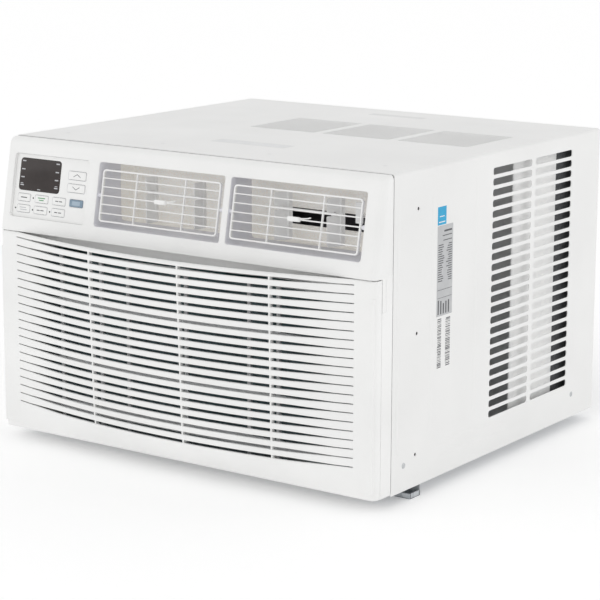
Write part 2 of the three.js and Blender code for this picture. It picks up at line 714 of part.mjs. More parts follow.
function cabinetShell() {
  const inner = CABINET_HALF - SHEET;
  let shell = cut(
    box(-CABINET_HALF, CABINET_HALF, 0.6, CABINET_DEPTH, 0, CABINET_HEIGHT),
    box(-inner, inner, -1, CABINET_DEPTH - SHEET, -1, CABINET_HEIGHT - SHEET),
    box(-316, 316, 500, CABINET_DEPTH + 1, -1, 424),
  );
  for (const [y0, y1] of [[255, 365], [376, 485]]) {
    for (let i = 0; i < SIDE_ROWS; i += 1) {
      const z = 53 + i * SIDE_PITCH;
      for (const x of [-HALF - 1, HALF - 9]) shell = cut(shell, box(x, x + 10, y0, y1, z, z + 10));
    }
  }
  const rows = 11;
  for (const [x0, x1] of [[-109, 10], [24, 142], [156, 273]]) {
    for (let i = 0; i < rows; i += 1) {
      const y = 276 + i * 10.8;
      shell = cut(shell, box(x0, x1, y, y + 5, CABINET_HEIGHT - 10, CABINET_HEIGHT + 1));
    }
  }
  return cut(shell, rodX(40, 70, 9, -HALF - 1, -HALF + 9, 16));
}

add('cabinet_shell', cabinetShell(), WHITE_STEEL);
add('cord_grommet', join(
  cut(rodX(40, 70, 8.6, -CABINET_HALF, -316, 16), rodX(40, 70, 4.5, -HALF, -300, 12)),
  cut(rodX(40, 70, 12, -CABINET_HALF + SHEET + 0.5, -322, 16), rodX(40, 70, 8, -HALF, -300, 12)),
), RUBBER);

function basePan() {
  const half = CABINET_HALF - SHEET - GAP;
  const [y0, y1] = [2, CABINET_DEPTH - SHEET - GAP];
  const z0 = 0.4;
  let pan = cut(
    box(-half, half, y0, y1, z0, 40),
    box(-half + SHEET, half - SHEET, y0 + SHEET, y1 - SHEET, z0 + SHEET, 50),
    box(-half - 1, half + 1, -10, 30, 24, 50),
  );
  for (const side of [-1, 1]) {
    const x = side * 230;
    pan = join(pan, box(x - 32, x + 32, 468, 512, -FOOT, z0 + 1));
    pan = cut(pan, box(x - 32 + SHEET, x + 32 - SHEET, 468 + SHEET, 512 - SHEET, -FOOT + SHEET, z0 + 3));
  }
  return pan;
}

add('base_pan', basePan(), GALVANISED);

function sillChannel() {
  const half = CABINET_HALF;
  return cut(
    box(-half, half, 49, 74, -FOOT, 0),
    box(-half + SHEET, half - SHEET, 49 + SHEET, 74 - SHEET, -FOOT + SHEET, 1),
    box(-half - 1, half + 1, 40, 74 - SHEET, -FOOT + 8, 1),
  );
}

add('sill_channel', sillChannel(), GALVANISED);

// ---- origin: middle of the base, on the surface that it stands on -------------------------------------
unit.position.set(0, -(CABINET_DEPTH - BOW_FRONT) / 2, FOOT);
const air_conditioner = new THREE.Group();
air_conditioner.add(unit);

export default air_conditioner;
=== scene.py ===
# %% [markdown]
# # A window air conditioner
# This file is a lesson in building one appliance around a measured frame. The frame comes from the
# CAD model: it says where every node is and which body it moves with. Each step below says what a
# piece is on the real machine, how it could be made in Blender, and why one way was chosen.

# %% The fixed frame
import math
import random

import bmesh
import bpy
from mathutils import Matrix, Vector
from mathutils.geometry import tessellate_polygon


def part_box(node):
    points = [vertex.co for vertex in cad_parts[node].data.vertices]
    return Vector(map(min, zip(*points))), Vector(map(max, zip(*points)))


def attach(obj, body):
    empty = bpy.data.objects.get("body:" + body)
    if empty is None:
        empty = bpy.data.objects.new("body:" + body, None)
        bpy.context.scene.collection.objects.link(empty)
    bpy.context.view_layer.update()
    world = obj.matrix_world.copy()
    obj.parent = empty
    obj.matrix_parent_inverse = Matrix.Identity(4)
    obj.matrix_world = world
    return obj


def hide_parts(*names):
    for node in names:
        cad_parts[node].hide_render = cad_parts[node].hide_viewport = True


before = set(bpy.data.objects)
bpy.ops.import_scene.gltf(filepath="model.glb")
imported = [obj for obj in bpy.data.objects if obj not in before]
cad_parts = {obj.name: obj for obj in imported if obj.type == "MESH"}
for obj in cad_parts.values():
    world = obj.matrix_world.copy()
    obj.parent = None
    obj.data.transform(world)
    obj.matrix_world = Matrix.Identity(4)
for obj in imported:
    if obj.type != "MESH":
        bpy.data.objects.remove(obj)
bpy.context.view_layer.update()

scene = bpy.context.scene


def add_object(name, data):
    made = bpy.data.objects.new(name, data)
    scene.collection.objects.link(made)
    return made


def aimed(place, target):
    """A matrix at a place whose -Z looks at the target, as cameras and lamps do."""
    turn = (Vector(target) - Vector(place)).to_track_quat("-Z", "Y").to_matrix().to_4x4()
    return Matrix.Translation(place) @ turn


# %% [markdown]
# ## The camera
# A long lens from the front right, a little above the top, shows the front, the right side and the
# top at once. The place and the target fix the direction; a track quaternion turns the camera to it,
# which is simpler than three Euler angles. Shift and depth of field stay off.

# %% Camera
CAMERA_PLACE = Vector((1.78923, -2.51563, 0.86211))
CAMERA_TARGET = Vector((0.008915, 0.000383, 0.202886))
CAMERA_ROLL = math.radians(0.149)
camera_data = bpy.data.cameras.new("camera")
camera_data.lens = 126.566
camera_data.sensor_width = 36.0
camera = add_object("camera", camera_data)
camera.matrix_world = aimed(CAMERA_PLACE, CAMERA_TARGET) @ Matrix.Rotation(CAMERA_ROLL, 4, "Z")
scene.camera = camera
print("camera distance, metres:", round((CAMERA_TARGET - CAMERA_PLACE).length, 3))

# %% [markdown]
# ## One helper for nodes
# Every shader and every Geometry Nodes tree below is a set of nodes with settings and links. One
# function adds a node: keyword arguments are its settings, and each input is a value, or a socket of
# another node to link from. Colours are written as sRGB hex values, and one function turns them
# linear, because shader sockets expect linear light.

# %% Nodes and colours
def node(tree, kind, inputs=None, **settings):
    """Adds one node with its settings, input values and links."""
    made = tree.nodes.new(kind)
    for name, value in settings.items():
        setattr(made, name, value)
    for key, value in (inputs or {}).items():
        if isinstance(value, bpy.types.NodeSocket):
            tree.links.new(value, made.inputs[key])
        else:
            made.inputs[key].default_value = value
    return made


def linear(code):
    """sRGB hex, such as '#f0efec', as linear RGBA."""
    parts = [int(code[i:i + 2], 16) / 255 for i in (1, 3, 5)]
    return (*[c / 12.92 if c <= 0.04045 else ((c + 0.055) / 1.055) ** 2.4 for c in parts], 1.0)


def surface(name, colour, roughness, **inputs):
    """A material with one Principled shader whose constant values sit on its own sockets."""
    material = bpy.data.materials.new(name)
    material.use_nodes = True
    tree = material.node_tree
    tree.nodes.clear()
    given = {"Base Color": linear(colour), "Roughness": roughness}
    given.update({key.replace("_", " "): value for key, value in inputs.items()})
    shader = node(tree, "ShaderNodeBsdfPrincipled", given)
    node(tree, "ShaderNodeOutputMaterial", {"Surface": shader.outputs["BSDF"]})
    return material, tree, shader


def size_to_scale(size_mm):
    """The texture scale that makes one cell of a pattern this many millimetres on Object coordinates."""
    return 1000.0 / size_mm


def grain(tree, shader, size_mm, height_mm, detail=2.0):
    """A moulded, rolled or sprayed texture: noise of a real size, as relief."""
    place = node(tree, "ShaderNodeTexCoord")
    noise = node(tree, "ShaderNodeTexNoise", {
        "Vector": place.outputs["Object"], "Scale": size_to_scale(size_mm), "Detail": detail})
    bump = node(tree, "ShaderNodeBump", {
        "Height": noise.outputs["Fac"], "Distance": height_mm / 1000.0, "Strength": 1.0})
    tree.links.new(bump.outputs["Normal"], shader.inputs["Normal"])
    return noise, bump


def mottle(tree, shader, size_mm, dark, light, socket="Base Color"):
    """Slow, faint variation of the colour, as every made surface has."""
    place = node(tree, "ShaderNodeTexCoord")
    noise = node(tree, "ShaderNodeTexNoise", {
        "Vector": place.outputs["Object"], "Scale": size_to_scale(size_mm), "Detail": 3.0})
    ramp = node(tree, "ShaderNodeValToRGB", {"Fac": noise.outputs["Fac"]})
    ramp.color_ramp.elements[0].position = 0.3
    ramp.color_ramp.elements[0].color = linear(dark)
    ramp.color_ramp.elements[1].position = 0.7
    ramp.color_ramp.elements[1].color = linear(light)
    tree.links.new(ramp.outputs["Color"], shader.inputs[socket])
    return ramp


def gloss_range(tree, shader, size_mm, low, high):
    """Roughness that drifts between two values, so that highlights break up."""
    place = node(tree, "ShaderNodeTexCoord")
    noise = node(tree, "ShaderNodeTexNoise", {
        "Vector": place.outputs["Object"], "Scale": size_to_scale(size_mm), "Detail": 2.0})
    drift = node(tree, "ShaderNodeMapRange", {
        "Value": noise.outputs["Fac"], "From Min": 0.3, "From Max": 0.7, "To Min": low, "To Max": high})
    tree.links.new(drift.outputs["Result"], shader.inputs["Roughness"])


# %% [markdown]
# ## The plastics
# The front is ABS, moulded in steel tools that were spark eroded, which gives a fine, even matte
# grain. The eye reads that as a soft highlight with no sharp edge. ABS has an IOR of about 1.54. The
# real grain is about 0.1 mm; it is drawn at 0.7 mm so that it still shows.

# %% Moulded plastics
def made_surface(name, colour, roughness, tones, relief=None, gloss=None, **inputs):
    """A surface with mottled tones (mm, dark, light), relief (mm, height) and gloss (mm, low, high)."""
    material, tree, shader = surface(name, colour, roughness, **inputs)
    mottle(tree, shader, *tones)
    if gloss:
        gloss_range(tree, shader, *gloss)
    if relief:
        grain(tree, shader, *relief)
    return material


white_abs = made_surface("white_abs_spark_eroded", "#f2f2f1", 0.42, (90, "#efefee", "#f4f4f3"),
                         (0.7, 0.012), (25, 0.36, 0.48), IOR=1.54)
# The outlet liners behind the white louvres are the same plastic in a cool grey.
grey_abs = made_surface("cool_grey_abs_moulded", "#e4e4e9", 0.5, (60, "#e0e0e6", "#e8e8ed"), (0.8, 0.015),
    IOR=1.54)
# The power key: a second moulding in blue grey, polished a little more than the front.
blue_grey_abs = made_surface("blue_grey_abs_satin", "#7d93a6", 0.33, (8, "#74899c", "#8ba0b1"), (0.6, 0.008),
    IOR=1.54)
# Fan wheels are glass-filled polypropylene: near black, with a waxy, slightly streaked surface.
black_pp = made_surface("black_polypropylene_glass_filled", "#1c1d1f", 0.45, (14, "#18191b", "#25272a"),
                        (1.2, 0.03, 4.0), IOR=1.49)
# The filter's frame and net are polypropylene too, unfilled and grey.
grey_pp = made_surface("grey_polypropylene_filter_frame", "#d9dadb", 0.5, (30, "#d4d5d7", "#dfe0e1"),
                       (1.0, 0.02), IOR=1.49)
net_pp = made_surface("dark_polypropylene_net", "#73838a", 0.6, (20, "#6a7a81", "#7d8d94"), IOR=1.49)

# Air ducts and the scroll are bead foam: expanded polystyrene beads of about 4 mm that were steam
# moulded, so the surface shows the beads as shallow cells and is fully matte.
# The foam glows a little though it is no lamp: painted light on the shaded duct walls.
foam_with_painted_glow, tree, shader = surface("expanded_polystyrene_bead_foam_painted_glow", "#f1efea", 0.95, IOR=1.33,
    Emission_Strength=0.09)
shader.inputs["Emission Color"].default_value = linear("#fdf8f0")   # painted glow: light the foam gives off itself, so that its shaded insides read bright
place = node(tree, "ShaderNodeTexCoord")
beads = node(tree, "ShaderNodeTexVoronoi", {
    "Vector": place.outputs["Object"], "Scale": size_to_scale(4.0)}, feature="DISTANCE_TO_EDGE")
seams = node(tree, "ShaderNodeMapRange", {
    "Value": beads.outputs["Distance"], "From Min": 0.0, "From Max": 0.12, "To Min": 0.0, "To Max": 1.0})
tone = node(tree, "ShaderNodeMix", {
    "Factor": seams.outputs["Result"], "A": linear("#eeebe6"), "B": linear("#f9f8f5")}, data_type="RGBA")
tree.links.new(tone.outputs["Result"], shader.inputs["Base Color"])

# The scroll housing is the same kind of foam in a dark grey: painted shade for its inside, seen through the
# outlets.
foam_painted_shade_grey, tree, shader = surface("grey_bead_foam_painted_shade", "#85828a", 0.95, IOR=1.33)

# The display window is smoked acrylic: clear-coated dark brown, polished like glass.
smoked_acrylic = made_surface("smoked_acrylic_window", "#2e2624", 0.16, (20, "#2a2220", "#322a28"),
                              IOR=1.42, Coat_Weight=0.2, Coat_Roughness=0.08)
# A strip of closed-cell foam seals the joint between the plastic front and the steel cabinet. Its dark grey
# is painted shade: the shadow line of the joint, and at the coil's edge the shade behind the side slots.
dark_foam_painted_shade = made_surface("dark_closed_cell_foam_painted_shade", "#7c7d80", 0.95, (4, "#4d4e50", "#626365"), (1.0, 0.04),
    IOR=1.4)
# Grommets and the cord bush are moulded rubber: black, dry and a little dusty.
moulded_rubber = made_surface("moulded_epdm_rubber", "#1d1d1e", 0.85, (12, "#19191a", "#2a2a2b"), (0.9, 0.03),
    IOR=1.52)
print("plastics:", [m.name for m in bpy.data.materials])

# %% [markdown]
# ## The metals and the printed films
# The cabinet is steel sheet with a baked powder coat. Powder flows out as it melts and leaves
# "orange peel", a faint ripple a few millimetres across, under a satin gloss. Galvanised steel shows
# zinc crystals, or spangle, of 5 to 10 mm. Coil fins are aluminium with a blue-green coat that helps
# water run off; tubes are drawn copper, dulled by the brazing torch.

# %% Sheet metal
powder_coat = made_surface("white_powder_coated_steel", "#eeeeed", 0.4, (160, "#ebebea", "#f0f0ef"),
                           (3.2, 0.02, 1.0), (60, 0.36, 0.46), IOR=1.5)


def spangle(name, dark, light, crystal_mm, rough_low, rough_high, metallic=0.8):
    """Zinc-coated steel: Voronoi crystals that differ in tone and in gloss."""
    material, tree, shader = surface(name, light, rough_high, Metallic=metallic)
    place = node(tree, "ShaderNodeTexCoord")
    crystals = node(tree, "ShaderNodeTexVoronoi", {
        "Vector": place.outputs["Object"], "Scale": size_to_scale(crystal_mm), "Randomness": 1.0})
    pick = node(tree, "ShaderNodeSeparateColor", {"Color": crystals.outputs["Color"]})
    tone = node(tree, "ShaderNodeMix", {
        "Factor": pick.outputs["Red"], "A": linear(dark), "B": linear(light)}, data_type="RGBA")
    gloss = node(tree, "ShaderNodeMapRange", {
        "Value": pick.outputs["Green"], "To Min": rough_low, "To Max": rough_high})
    tree.links.new(tone.outputs["Result"], shader.inputs["Base Color"])
    tree.links.new(gloss.outputs["Result"], shader.inputs["Roughness"])
    return material


galvanised = spangle("galvanised_steel_spangle", "#aeb2b6", "#cbced1", 7.0, 0.38, 0.55, 0.7)
# The shroud and the air guide: zinc spangle, but non-metallic and whiter than the white plastic. The
# whiteness is painted light, so that the space behind the side slots reads as bright as the outside.
zinc_sheet_painted_light = spangle("zinc_sheet_whitened_painted_light", "#f3f3f3", "#fafaf9", 9.0, 0.5, 0.62, 0.0)

black_enamel = made_surface("black_stoved_enamel_on_steel", "#151617", 0.3, (40, "#121314", "#1d1e20"),
                            (2.0, 0.02), IOR=1.5, Coat_Weight=0.3)
mill_aluminium = made_surface("mill_finish_aluminium", "#c6c8ca", 0.34, (20, "#bcbfc2", "#d0d2d4"),
                              gloss=(6, 0.28, 0.44), Metallic=1.0)
blue_fin = made_surface("blue_coated_aluminium_fin", "#7ba0a5", 0.45, (35, "#71969b", "#86abb0"), (1.5, 0.02),
    Metallic=0.3)
grey_fin = made_surface("bare_aluminium_fin", "#9ea4a6", 0.42, (45, "#8b9294", "#adb3b5"), (1.5, 0.02),
    Metallic=0.8)
drawn_copper = made_surface("drawn_copper_tube", "#b5714a", 0.3, (18, "#8e5a3e", "#c17f57"),
                            gloss=(9, 0.22, 0.45), Metallic=1.0)
plated_screw = made_surface("zinc_plated_screw", "#c9cbcd", 0.3, (3, "#b9bbbd", "#d6d8da"), Metallic=1.0)
board_green = made_surface("glass_epoxy_board_green", "#2b5a3c", 0.35, (5, "#244d33", "#356b48"), IOR=1.5)


def film(name, colour, shade):
    """Printed polyester film, or ink: a thin satin skin with a trace of variation."""
    return made_surface(name, colour, 0.38, (12, shade, colour), IOR=1.5)


blue_film = film("blue_polyester_label", "#0aa8d6", "#069fce")
grey_film = film("grey_polyester_rating_plate", "#c2c3c4", "#b9babc")
pale_film = film("pale_paper_label", "#e2e2e1", "#dedede")
dark_ink = film("dark_grey_ink", "#4f5155", "#46484c")
soft_ink = film("soft_grey_ink", "#c0c1c4", "#b8b9bd")
green_ink = film("green_ink", "#5aa06a", "#4f9560")
white_ink = film("white_ink", "#eceeef", "#e4e6e8")
dark_hole = film("shaded_hole_lining", "#141516", "#0e0f10")
print("materials:", len(bpy.data.materials))

# %% [markdown]
# ## Light and floor
# A white appliance on a white floor needs light from all round, or its sides go grey. The world
# gives that. Three large area lamps add a soft direction, so that edges and the bowed front still
# read as shapes. The floor is plain and pale.

# %% Stage and studio light
FLOOR_HALF = 40.0
FLOOR_GLOW = 0.19
ROOM_LIGHT = 0.87
floor_mesh = bpy.data.meshes.new("floor")
floor_mesh.from_pydata(
    [(-FLOOR_HALF, -FLOOR_HALF, 0), (FLOOR_HALF, -FLOOR_HALF, 0), (FLOOR_HALF, FLOOR_HALF, 0),
     (-FLOOR_HALF, FLOOR_HALF, 0)], [], [(0, 1, 2, 3)])
floor_paint, tree, shader = surface("pale_studio_floor", "#f6f6f6", 0.9, Emission_Strength=FLOOR_GLOW)
shader.inputs["Emission Color"].default_value = (1, 1, 1, 1)
floor_mesh.materials.append(floor_paint)
add_object("floor", floor_mesh)

world = bpy.data.worlds.new("studio")
world.use_nodes = True
world.node_tree.nodes["Background"].inputs["Color"].default_value = (1.0, 1.0, 1.0, 1.0)
world.node_tree.nodes["Background"].inputs["Strength"].default_value = ROOM_LIGHT
scene.world = world
scene.view_settings.view_transform = "Standard"

LAMP_TARGET = (0, 0, 0.25)
LAMPS = [                                 # name, place, width, watts
    ("key", (-2.6, -3.0, 1.9), 2.2, 6.0),
    ("side", (3.2, 1.8, 1.7), 2.0, 6.0),
    ("front_fill", (1.5, -3.4, 1.1), 1.6, 1.2),
]
for name, place, width, watts in LAMPS:
    lamp = bpy.data.lights.new(name, "AREA")
    lamp.shape = "SQUARE"
    lamp.size = width
    lamp.energy = watts
    add_object(name, lamp).matrix_world = aimed(place, LAMP_TARGET)
print("lamps:", len(LAMPS))

# %% [markdown]
# ## The working frame
# The drawings of this machine measure from one corner: x is across it, y = 0 is the joint between
# the plastic front and the steel cabinet, z = 0 is the cabinet's lower edge, all in millimetres. Two
# offsets, read from the frame, turn that into the frame's metres. The upper face leans back, so a
# second set of axes lies on it: x across, d into the machine, s up the face.

# %% Places
cabinet_low, cabinet_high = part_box("cabinet_shell")
JOINT = cabinet_low.y * 1000 - 0.6       # the cabinet starts 0.6 mm behind the joint
LIFT = cabinet_low.z * 1000
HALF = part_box("front_bezel")[1].x * 1000
CABINET_HALF = cabinet_high.x * 1000
CABINET_DEPTH = cabinet_high.y * 1000 - JOINT
CABINET_HEIGHT = cabinet_high.z * 1000 - LIFT
FACE_Y, FACE_Z = -43.0, 301.0            # lower edge of the leaning face
LEAN = math.atan(0.19)


def at(x, y, z):
    """Working millimetres to the frame's metres."""
    return (x / 1000, (y + JOINT) / 1000, (z + LIFT) / 1000)


def on_face(x, d, s):
    """A point of the leaning face's own axes, in working millimetres."""
    return (x, FACE_Y + d * math.cos(LEAN) + s * math.sin(LEAN),
            FACE_Z - d * math.sin(LEAN) + s * math.cos(LEAN))


def face_y(z):
    return FACE_Y + math.tan(LEAN) * (z - FACE_Z)


print("joint and lift, mm:", round(JOINT, 2), round(LIFT, 2), "cabinet depth:", round(CABINET_DEPTH, 1))

# %% [markdown]
# ## Mesh helpers
# Most pieces here are sheets and mouldings: an outline with windows, a row of sections joined into a
# skin, or a profile turned about an axis. Each is a few lines of plain mesh code, which keeps every
# wall closed and gives exact control of rounded corners. A last step merges doubles, points all
# faces outwards and keeps edges sharper than a given angle.

# %% Building meshes
def settle(mesh, sharp=32, recalculate=True):
    """Merges doubles, turns faces outwards and sets the shading."""
    work = bmesh.new()
    work.from_mesh(mesh)
    bmesh.ops.remove_doubles(work, verts=work.verts, dist=2e-6)
    if recalculate:
        bmesh.ops.recalc_face_normals(work, faces=work.faces)
    work.to_mesh(mesh)
    work.free()
    mesh.shade_smooth()
    mesh.set_sharp_from_angle(angle=math.radians(sharp))
    return mesh


def shape(name, parts, material, sharp=32):
    """One object from lists of (points in working mm, faces). Each part is closed by itself."""
    points, faces = [], []
    for some, more in parts:
        first = len(points)
        points += [at(*p) for p in some]
        faces += [[first + i for i in face] for face in more]
    mesh = bpy.data.meshes.new(name)
    mesh.from_pydata(points, [], faces)
    settle(mesh, sharp)
    mesh.materials.append(material)
    return add_object(name, mesh)


def rounded(x0, x1, z0, z1, r, steps=5):
    """A rectangle with round corners, counter-clockwise."""
    outline = []
    for cx, cz, start in ((x1 - r, z0 + r, 270), (x1 - r, z1 - r, 0), (x0 + r, z1 - r, 90),
            (x0 + r, z0 + r, 180)):
        for i in range(steps + 1):
            a = math.radians(start + 90 * i / steps)
            outline.append((cx + r * math.cos(a), cz + r * math.sin(a)))
    return outline


def grown(box, by):
    """A rectangle (x0, x1, z0, z1) made larger, or smaller, on every side."""
    x0, x1, z0, z1 = box
    return (x0 - by, x1 + by, z0 - by, z1 + by)


def facing(profile, way):
    """A profile of (radius, along) that points along +t (way 1) or back (way -1)."""
    return [(r, t * way) for r, t in profile]


def circle(x, z, r, steps=24):
    return [(x + r * math.cos(2 * math.pi * i / steps), z + r * math.sin(2 * math.pi * i / steps))
            for i in range(steps)]


def plate(outline, d0, d1, place, holes=()):
    """A flat plate with windows. place(u, v, d) gives its points."""
    loops = [list(outline)] + [list(hole) for hole in holes]
    flat = [Vector((u, v, 0)) for loop in loops for u, v in loop]
    count = len(flat)
    triangles = tessellate_polygon([[Vector((u, v, 0)) for u, v in loop] for loop in loops])
    points = [place(p.x, p.y, d) for d in (d0, d1) for p in flat]
    faces = [list(t) for t in triangles] + [[count + i for i in reversed(t)] for t in triangles]
    start = 0
    for loop in loops:
        n = len(loop)
        for i in range(n):
            a, b = start + i, start + (i + 1) % n
            faces.append([a, b, count + b, count + a])
        start += n
    return points, faces


def soften(outline, d0, d1, place, edge):
    """A plate without windows whose front edge is rounded over, as a moulded key or label is."""
    n = len(outline)
    cx = sum(p[0] for p in outline) / n
    cz = sum(p[1] for p in outline) / n
    way = 1 if d1 > d0 else -1
    rings = []
    for inset, depth in ((edge, 0.0), (edge * 0.4, edge * 0.12), (edge * 0.1, edge * 0.45), (0.0, edge)):
        ring = []
        for u, v in outline:
            reach = math.hypot(u - cx, v - cz) or 1.0
            k = 1 - inset * 1.3 / reach
            ring.append(place(cx + (u - cx) * k, cz + (v - cz) * k, d0 + way * depth))
        rings.append(ring)
    rings.append([place(u, v, d1) for u, v in outline])
    return loft(rings)


def loft(rings, caps=True):
    """Joins rings of equal length into a skin, and caps both ends."""
    n = len(rings[0])
    points = [p for ring in rings for p in ring]
    faces = []
    for k in range(len(rings) - 1):
        for i in range(n):
            a, b = k * n + i, k * n + (i + 1) % n
            faces.append([a, b, b + n, a + n])
    if caps:
        faces.append(list(range(n))[::-1])
        faces.append([(len(rings) - 1) * n + i for i in range(n)])
    return points, faces


def on_leaning(u, v, d):
    return on_face(u, d, v)


def upright_xz(u, v, d):
    return (u, d, v)


def upright_yz(u, v, d):
    return (d, u, v)


def level_xy(u, v, d):
    return (u, v, d)


def block(x0, x1, y0, y1, z0, z1, r=0.6):
    """A small moulded bar: a box along its longest side with rounded long edges."""
    spans = [(x0, x1), (y0, y1), (z0, z1)]
    sizes = [high - low for low, high in spans]
    axis = sizes.index(max(sizes))
    (u0, u1), (v0, v1) = spans[:axis] + spans[axis + 1:]
    ring = rounded(u0, u1, v0, v1, min(r, (u1 - u0) / 2.2, (v1 - v0) / 2.2), 3)
    return loft([[(u, v)[:axis] + (end,) + (u, v)[axis:] for u, v in ring] for end in spans[axis]])


def turned(profile, centre, axis="y", steps=48):
    """A profile of (radius, along) turned about an axis through centre (working mm)."""
    rings = []
    for i in range(steps):
        a = 2 * math.pi * i / steps
        ring = []
        for r, t in profile:
            u, v = r * math.cos(a), r * math.sin(a)
            reach = {"x": (t, u, v), "y": (u, t, v), "z": (u, v, t)}[axis]
            ring.append(tuple(c + step for c, step in zip(centre, reach)))
        rings.append(ring)
    n = len(profile)
    points = [p for ring in rings for p in ring]
    faces = []
    closed_loop = profile[0][0] > 1e-6
    last = n if closed_loop else n - 1
    for k in range(steps):
        for i in range(last):
            a, b = k * n + i, k * n + (i + 1) % n
            c, d = ((k + 1) % steps) * n + (i + 1) % n, ((k + 1) % steps) * n + i
            faces.append([a, b, c, d])
    return points, faces


def finish(made, body, stands_for=()):
    """A finished piece rides on its body and stands for its CAD nodes, which it hides."""
    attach(made, body)
    if stands_for:
        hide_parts(*stands_for)
    return made


def evaluated_mesh(made):
    """An object's result, modifiers and bevels included, as a new plain mesh."""
    bpy.context.view_layer.update()
    return bpy.data.meshes.new_from_object(made.evaluated_get(bpy.context.evaluated_depsgraph_get()))


def with_modifiers(made, sharp=32):
    """Turns an object's live modifiers into plain mesh."""
    baked = evaluated_mesh(made)
    made.modifiers.clear()
    made.data = baked
    settle(baked, sharp, recalculate=False)
    return made


def add_bevel(made, width_mm, angle):
    """Rounds every edge sharper than an angle in degrees."""
    bevel = made.modifiers.new("round_edges", "BEVEL")
    bevel.width = width_mm / 1000
    bevel.segments = 2
    bevel.limit_method = "ANGLE"
    bevel.angle_limit = math.radians(angle)


def add_thickness(made, thickness_mm):
    """Gives a skin its wall, towards the inside."""
    wall = made.modifiers.new("wall", "SOLIDIFY")
    wall.thickness = thickness_mm / 1000
    wall.offset = -1


# %% [markdown]
# ## Three trees for what repeats
# Fins, bars, strands and slots repeat at an even pitch, and blades repeat round a shaft. Copying them
# in Python would hide the rule; a Geometry Nodes tree keeps it as named inputs. Each tree ends in
# Realize Instances and Set Material, and its result is taken as a plain mesh.

# %% Copies in rows, copies round a shaft, a perforated sheet
def new_tree(name, inputs):
    tree = bpy.data.node_groups.new(name, "GeometryNodeTree")
    tree.interface.new_socket(name="Geometry", in_out="INPUT", socket_type="NodeSocketGeometry")
    for label, kind, value in inputs:
        made = tree.interface.new_socket(name=label, in_out="INPUT", socket_type="NodeSocket" + kind)
        if value is not None:
            made.default_value = value
    tree.interface.new_socket(name="Geometry", in_out="OUTPUT", socket_type="NodeSocketGeometry")
    return tree, node(tree, "NodeGroupInput").outputs


def end_tree(tree, geometry, material):
    real = node(tree, "GeometryNodeRealizeInstances", {"Geometry": geometry})
    painted = node(tree, "GeometryNodeSetMaterial",
        {"Geometry": real.outputs["Geometry"], "Material": material})
    node(tree, "NodeGroupOutput", {"Geometry": painted.outputs["Geometry"]})


rows_tree, given = new_tree("copies_in_rows", [
    ("Count", "Int", 2), ("Step", "Vector", (0.01, 0, 0)), ("Rows", "Int", 1),
    ("Row Step", "Vector", (0, 0, 0.01)), ("Material", "Material", None)])
line = node(rows_tree, "GeometryNodeMeshLine", {"Count": given["Count"], "Offset": given["Step"]},
    mode="OFFSET")
one_row = node(rows_tree, "GeometryNodeInstanceOnPoints", {
    "Points": line.outputs["Mesh"], "Instance": given["Geometry"]})
across = node(rows_tree, "GeometryNodeMeshLine", {"Count": given["Rows"], "Offset": given["Row Step"]},
    mode="OFFSET")
all_rows = node(rows_tree, "GeometryNodeInstanceOnPoints", {
    "Points": across.outputs["Mesh"], "Instance": one_row.outputs["Instances"]})
end_tree(rows_tree, all_rows.outputs["Instances"], given["Material"])

ring_tree, given = new_tree("copies_round_a_shaft", [
    ("Count", "Int", 5), ("Centre", "Vector", (0, 0, 0)), ("Material", "Material", None)])
stack = node(ring_tree, "GeometryNodeMeshLine", {"Count": given["Count"], "Offset": (0, 0, 0)}, mode="OFFSET")
copies = node(ring_tree, "GeometryNodeInstanceOnPoints", {
    "Points": stack.outputs["Mesh"], "Instance": given["Geometry"]})
index = node(ring_tree, "GeometryNodeInputIndex")
share = node(ring_tree, "ShaderNodeMath", {0: index.outputs[0], 1: given["Count"]}, operation="DIVIDE")
angle = node(ring_tree, "ShaderNodeMath", {0: share.outputs[0], 1: 2 * math.pi}, operation="MULTIPLY")
about_y = node(ring_tree, "ShaderNodeCombineXYZ", {"Y": angle.outputs[0]})
spun = node(ring_tree, "GeometryNodeRotateInstances", {
    "Instances": copies.outputs["Instances"], "Rotation": about_y.outputs[0],
    "Pivot Point": given["Centre"], "Local Space": False})
end_tree(ring_tree, spun.outputs["Instances"], given["Material"])

sheet_tree, given = new_tree("perforated_sheet", [
    ("Columns", "Int", 1), ("Rows", "Int", 1), ("Column Pitch", "Vector", (0.1, 0, 0)),
    ("Row Pitch", "Vector", (0, 0.01, 0)), ("First Slot", "Vector", (0, 0, 0)), ("Slot Width", "Float", 0.1),
    ("Slot Height", "Float", 0.01), ("Slot Corner", "Float", 0.002), ("Material", "Material", None)])
column = node(sheet_tree, "GeometryNodeMeshLine", {
    "Count": given["Columns"], "Start Location": given["First Slot"], "Offset": given["Column Pitch"]},
    mode="OFFSET")
row = node(sheet_tree, "GeometryNodeMeshLine", {"Count": given["Rows"], "Offset": given["Row Pitch"]},
    mode="OFFSET")
grid = node(sheet_tree, "GeometryNodeInstanceOnPoints", {
    "Points": column.outputs["Mesh"], "Instance": row.outputs["Mesh"]})
grid_points = node(sheet_tree, "GeometryNodeRealizeInstances", {"Geometry": grid.outputs["Instances"]})
slot_line = node(sheet_tree, "GeometryNodeCurvePrimitiveQuadrilateral", {
    "Width": given["Slot Width"], "Height": given["Slot Height"]})
slot_round = node(sheet_tree, "GeometryNodeFilletCurve", {
    "Curve": slot_line.outputs["Curve"], "Radius": given["Slot Corner"], "Count": 3, "Limit Radius": True},
    mode="POLY")
slots = node(sheet_tree, "GeometryNodeInstanceOnPoints", {
    "Points": grid_points.outputs["Geometry"], "Instance": slot_round.outputs["Curve"]})
slot_curves = node(sheet_tree, "GeometryNodeRealizeInstances", {"Geometry": slots.outputs["Instances"]})
both = node(sheet_tree, "GeometryNodeJoinGeometry")
sheet_tree.links.new(given["Geometry"], both.inputs["Geometry"])
sheet_tree.links.new(slot_curves.outputs["Geometry"], both.inputs["Geometry"])
filled = node(sheet_tree, "GeometryNodeFillCurve", {"Curve": both.outputs["Geometry"]}, mode="TRIANGLES")
end_tree(sheet_tree, filled.outputs["Mesh"], given["Material"])


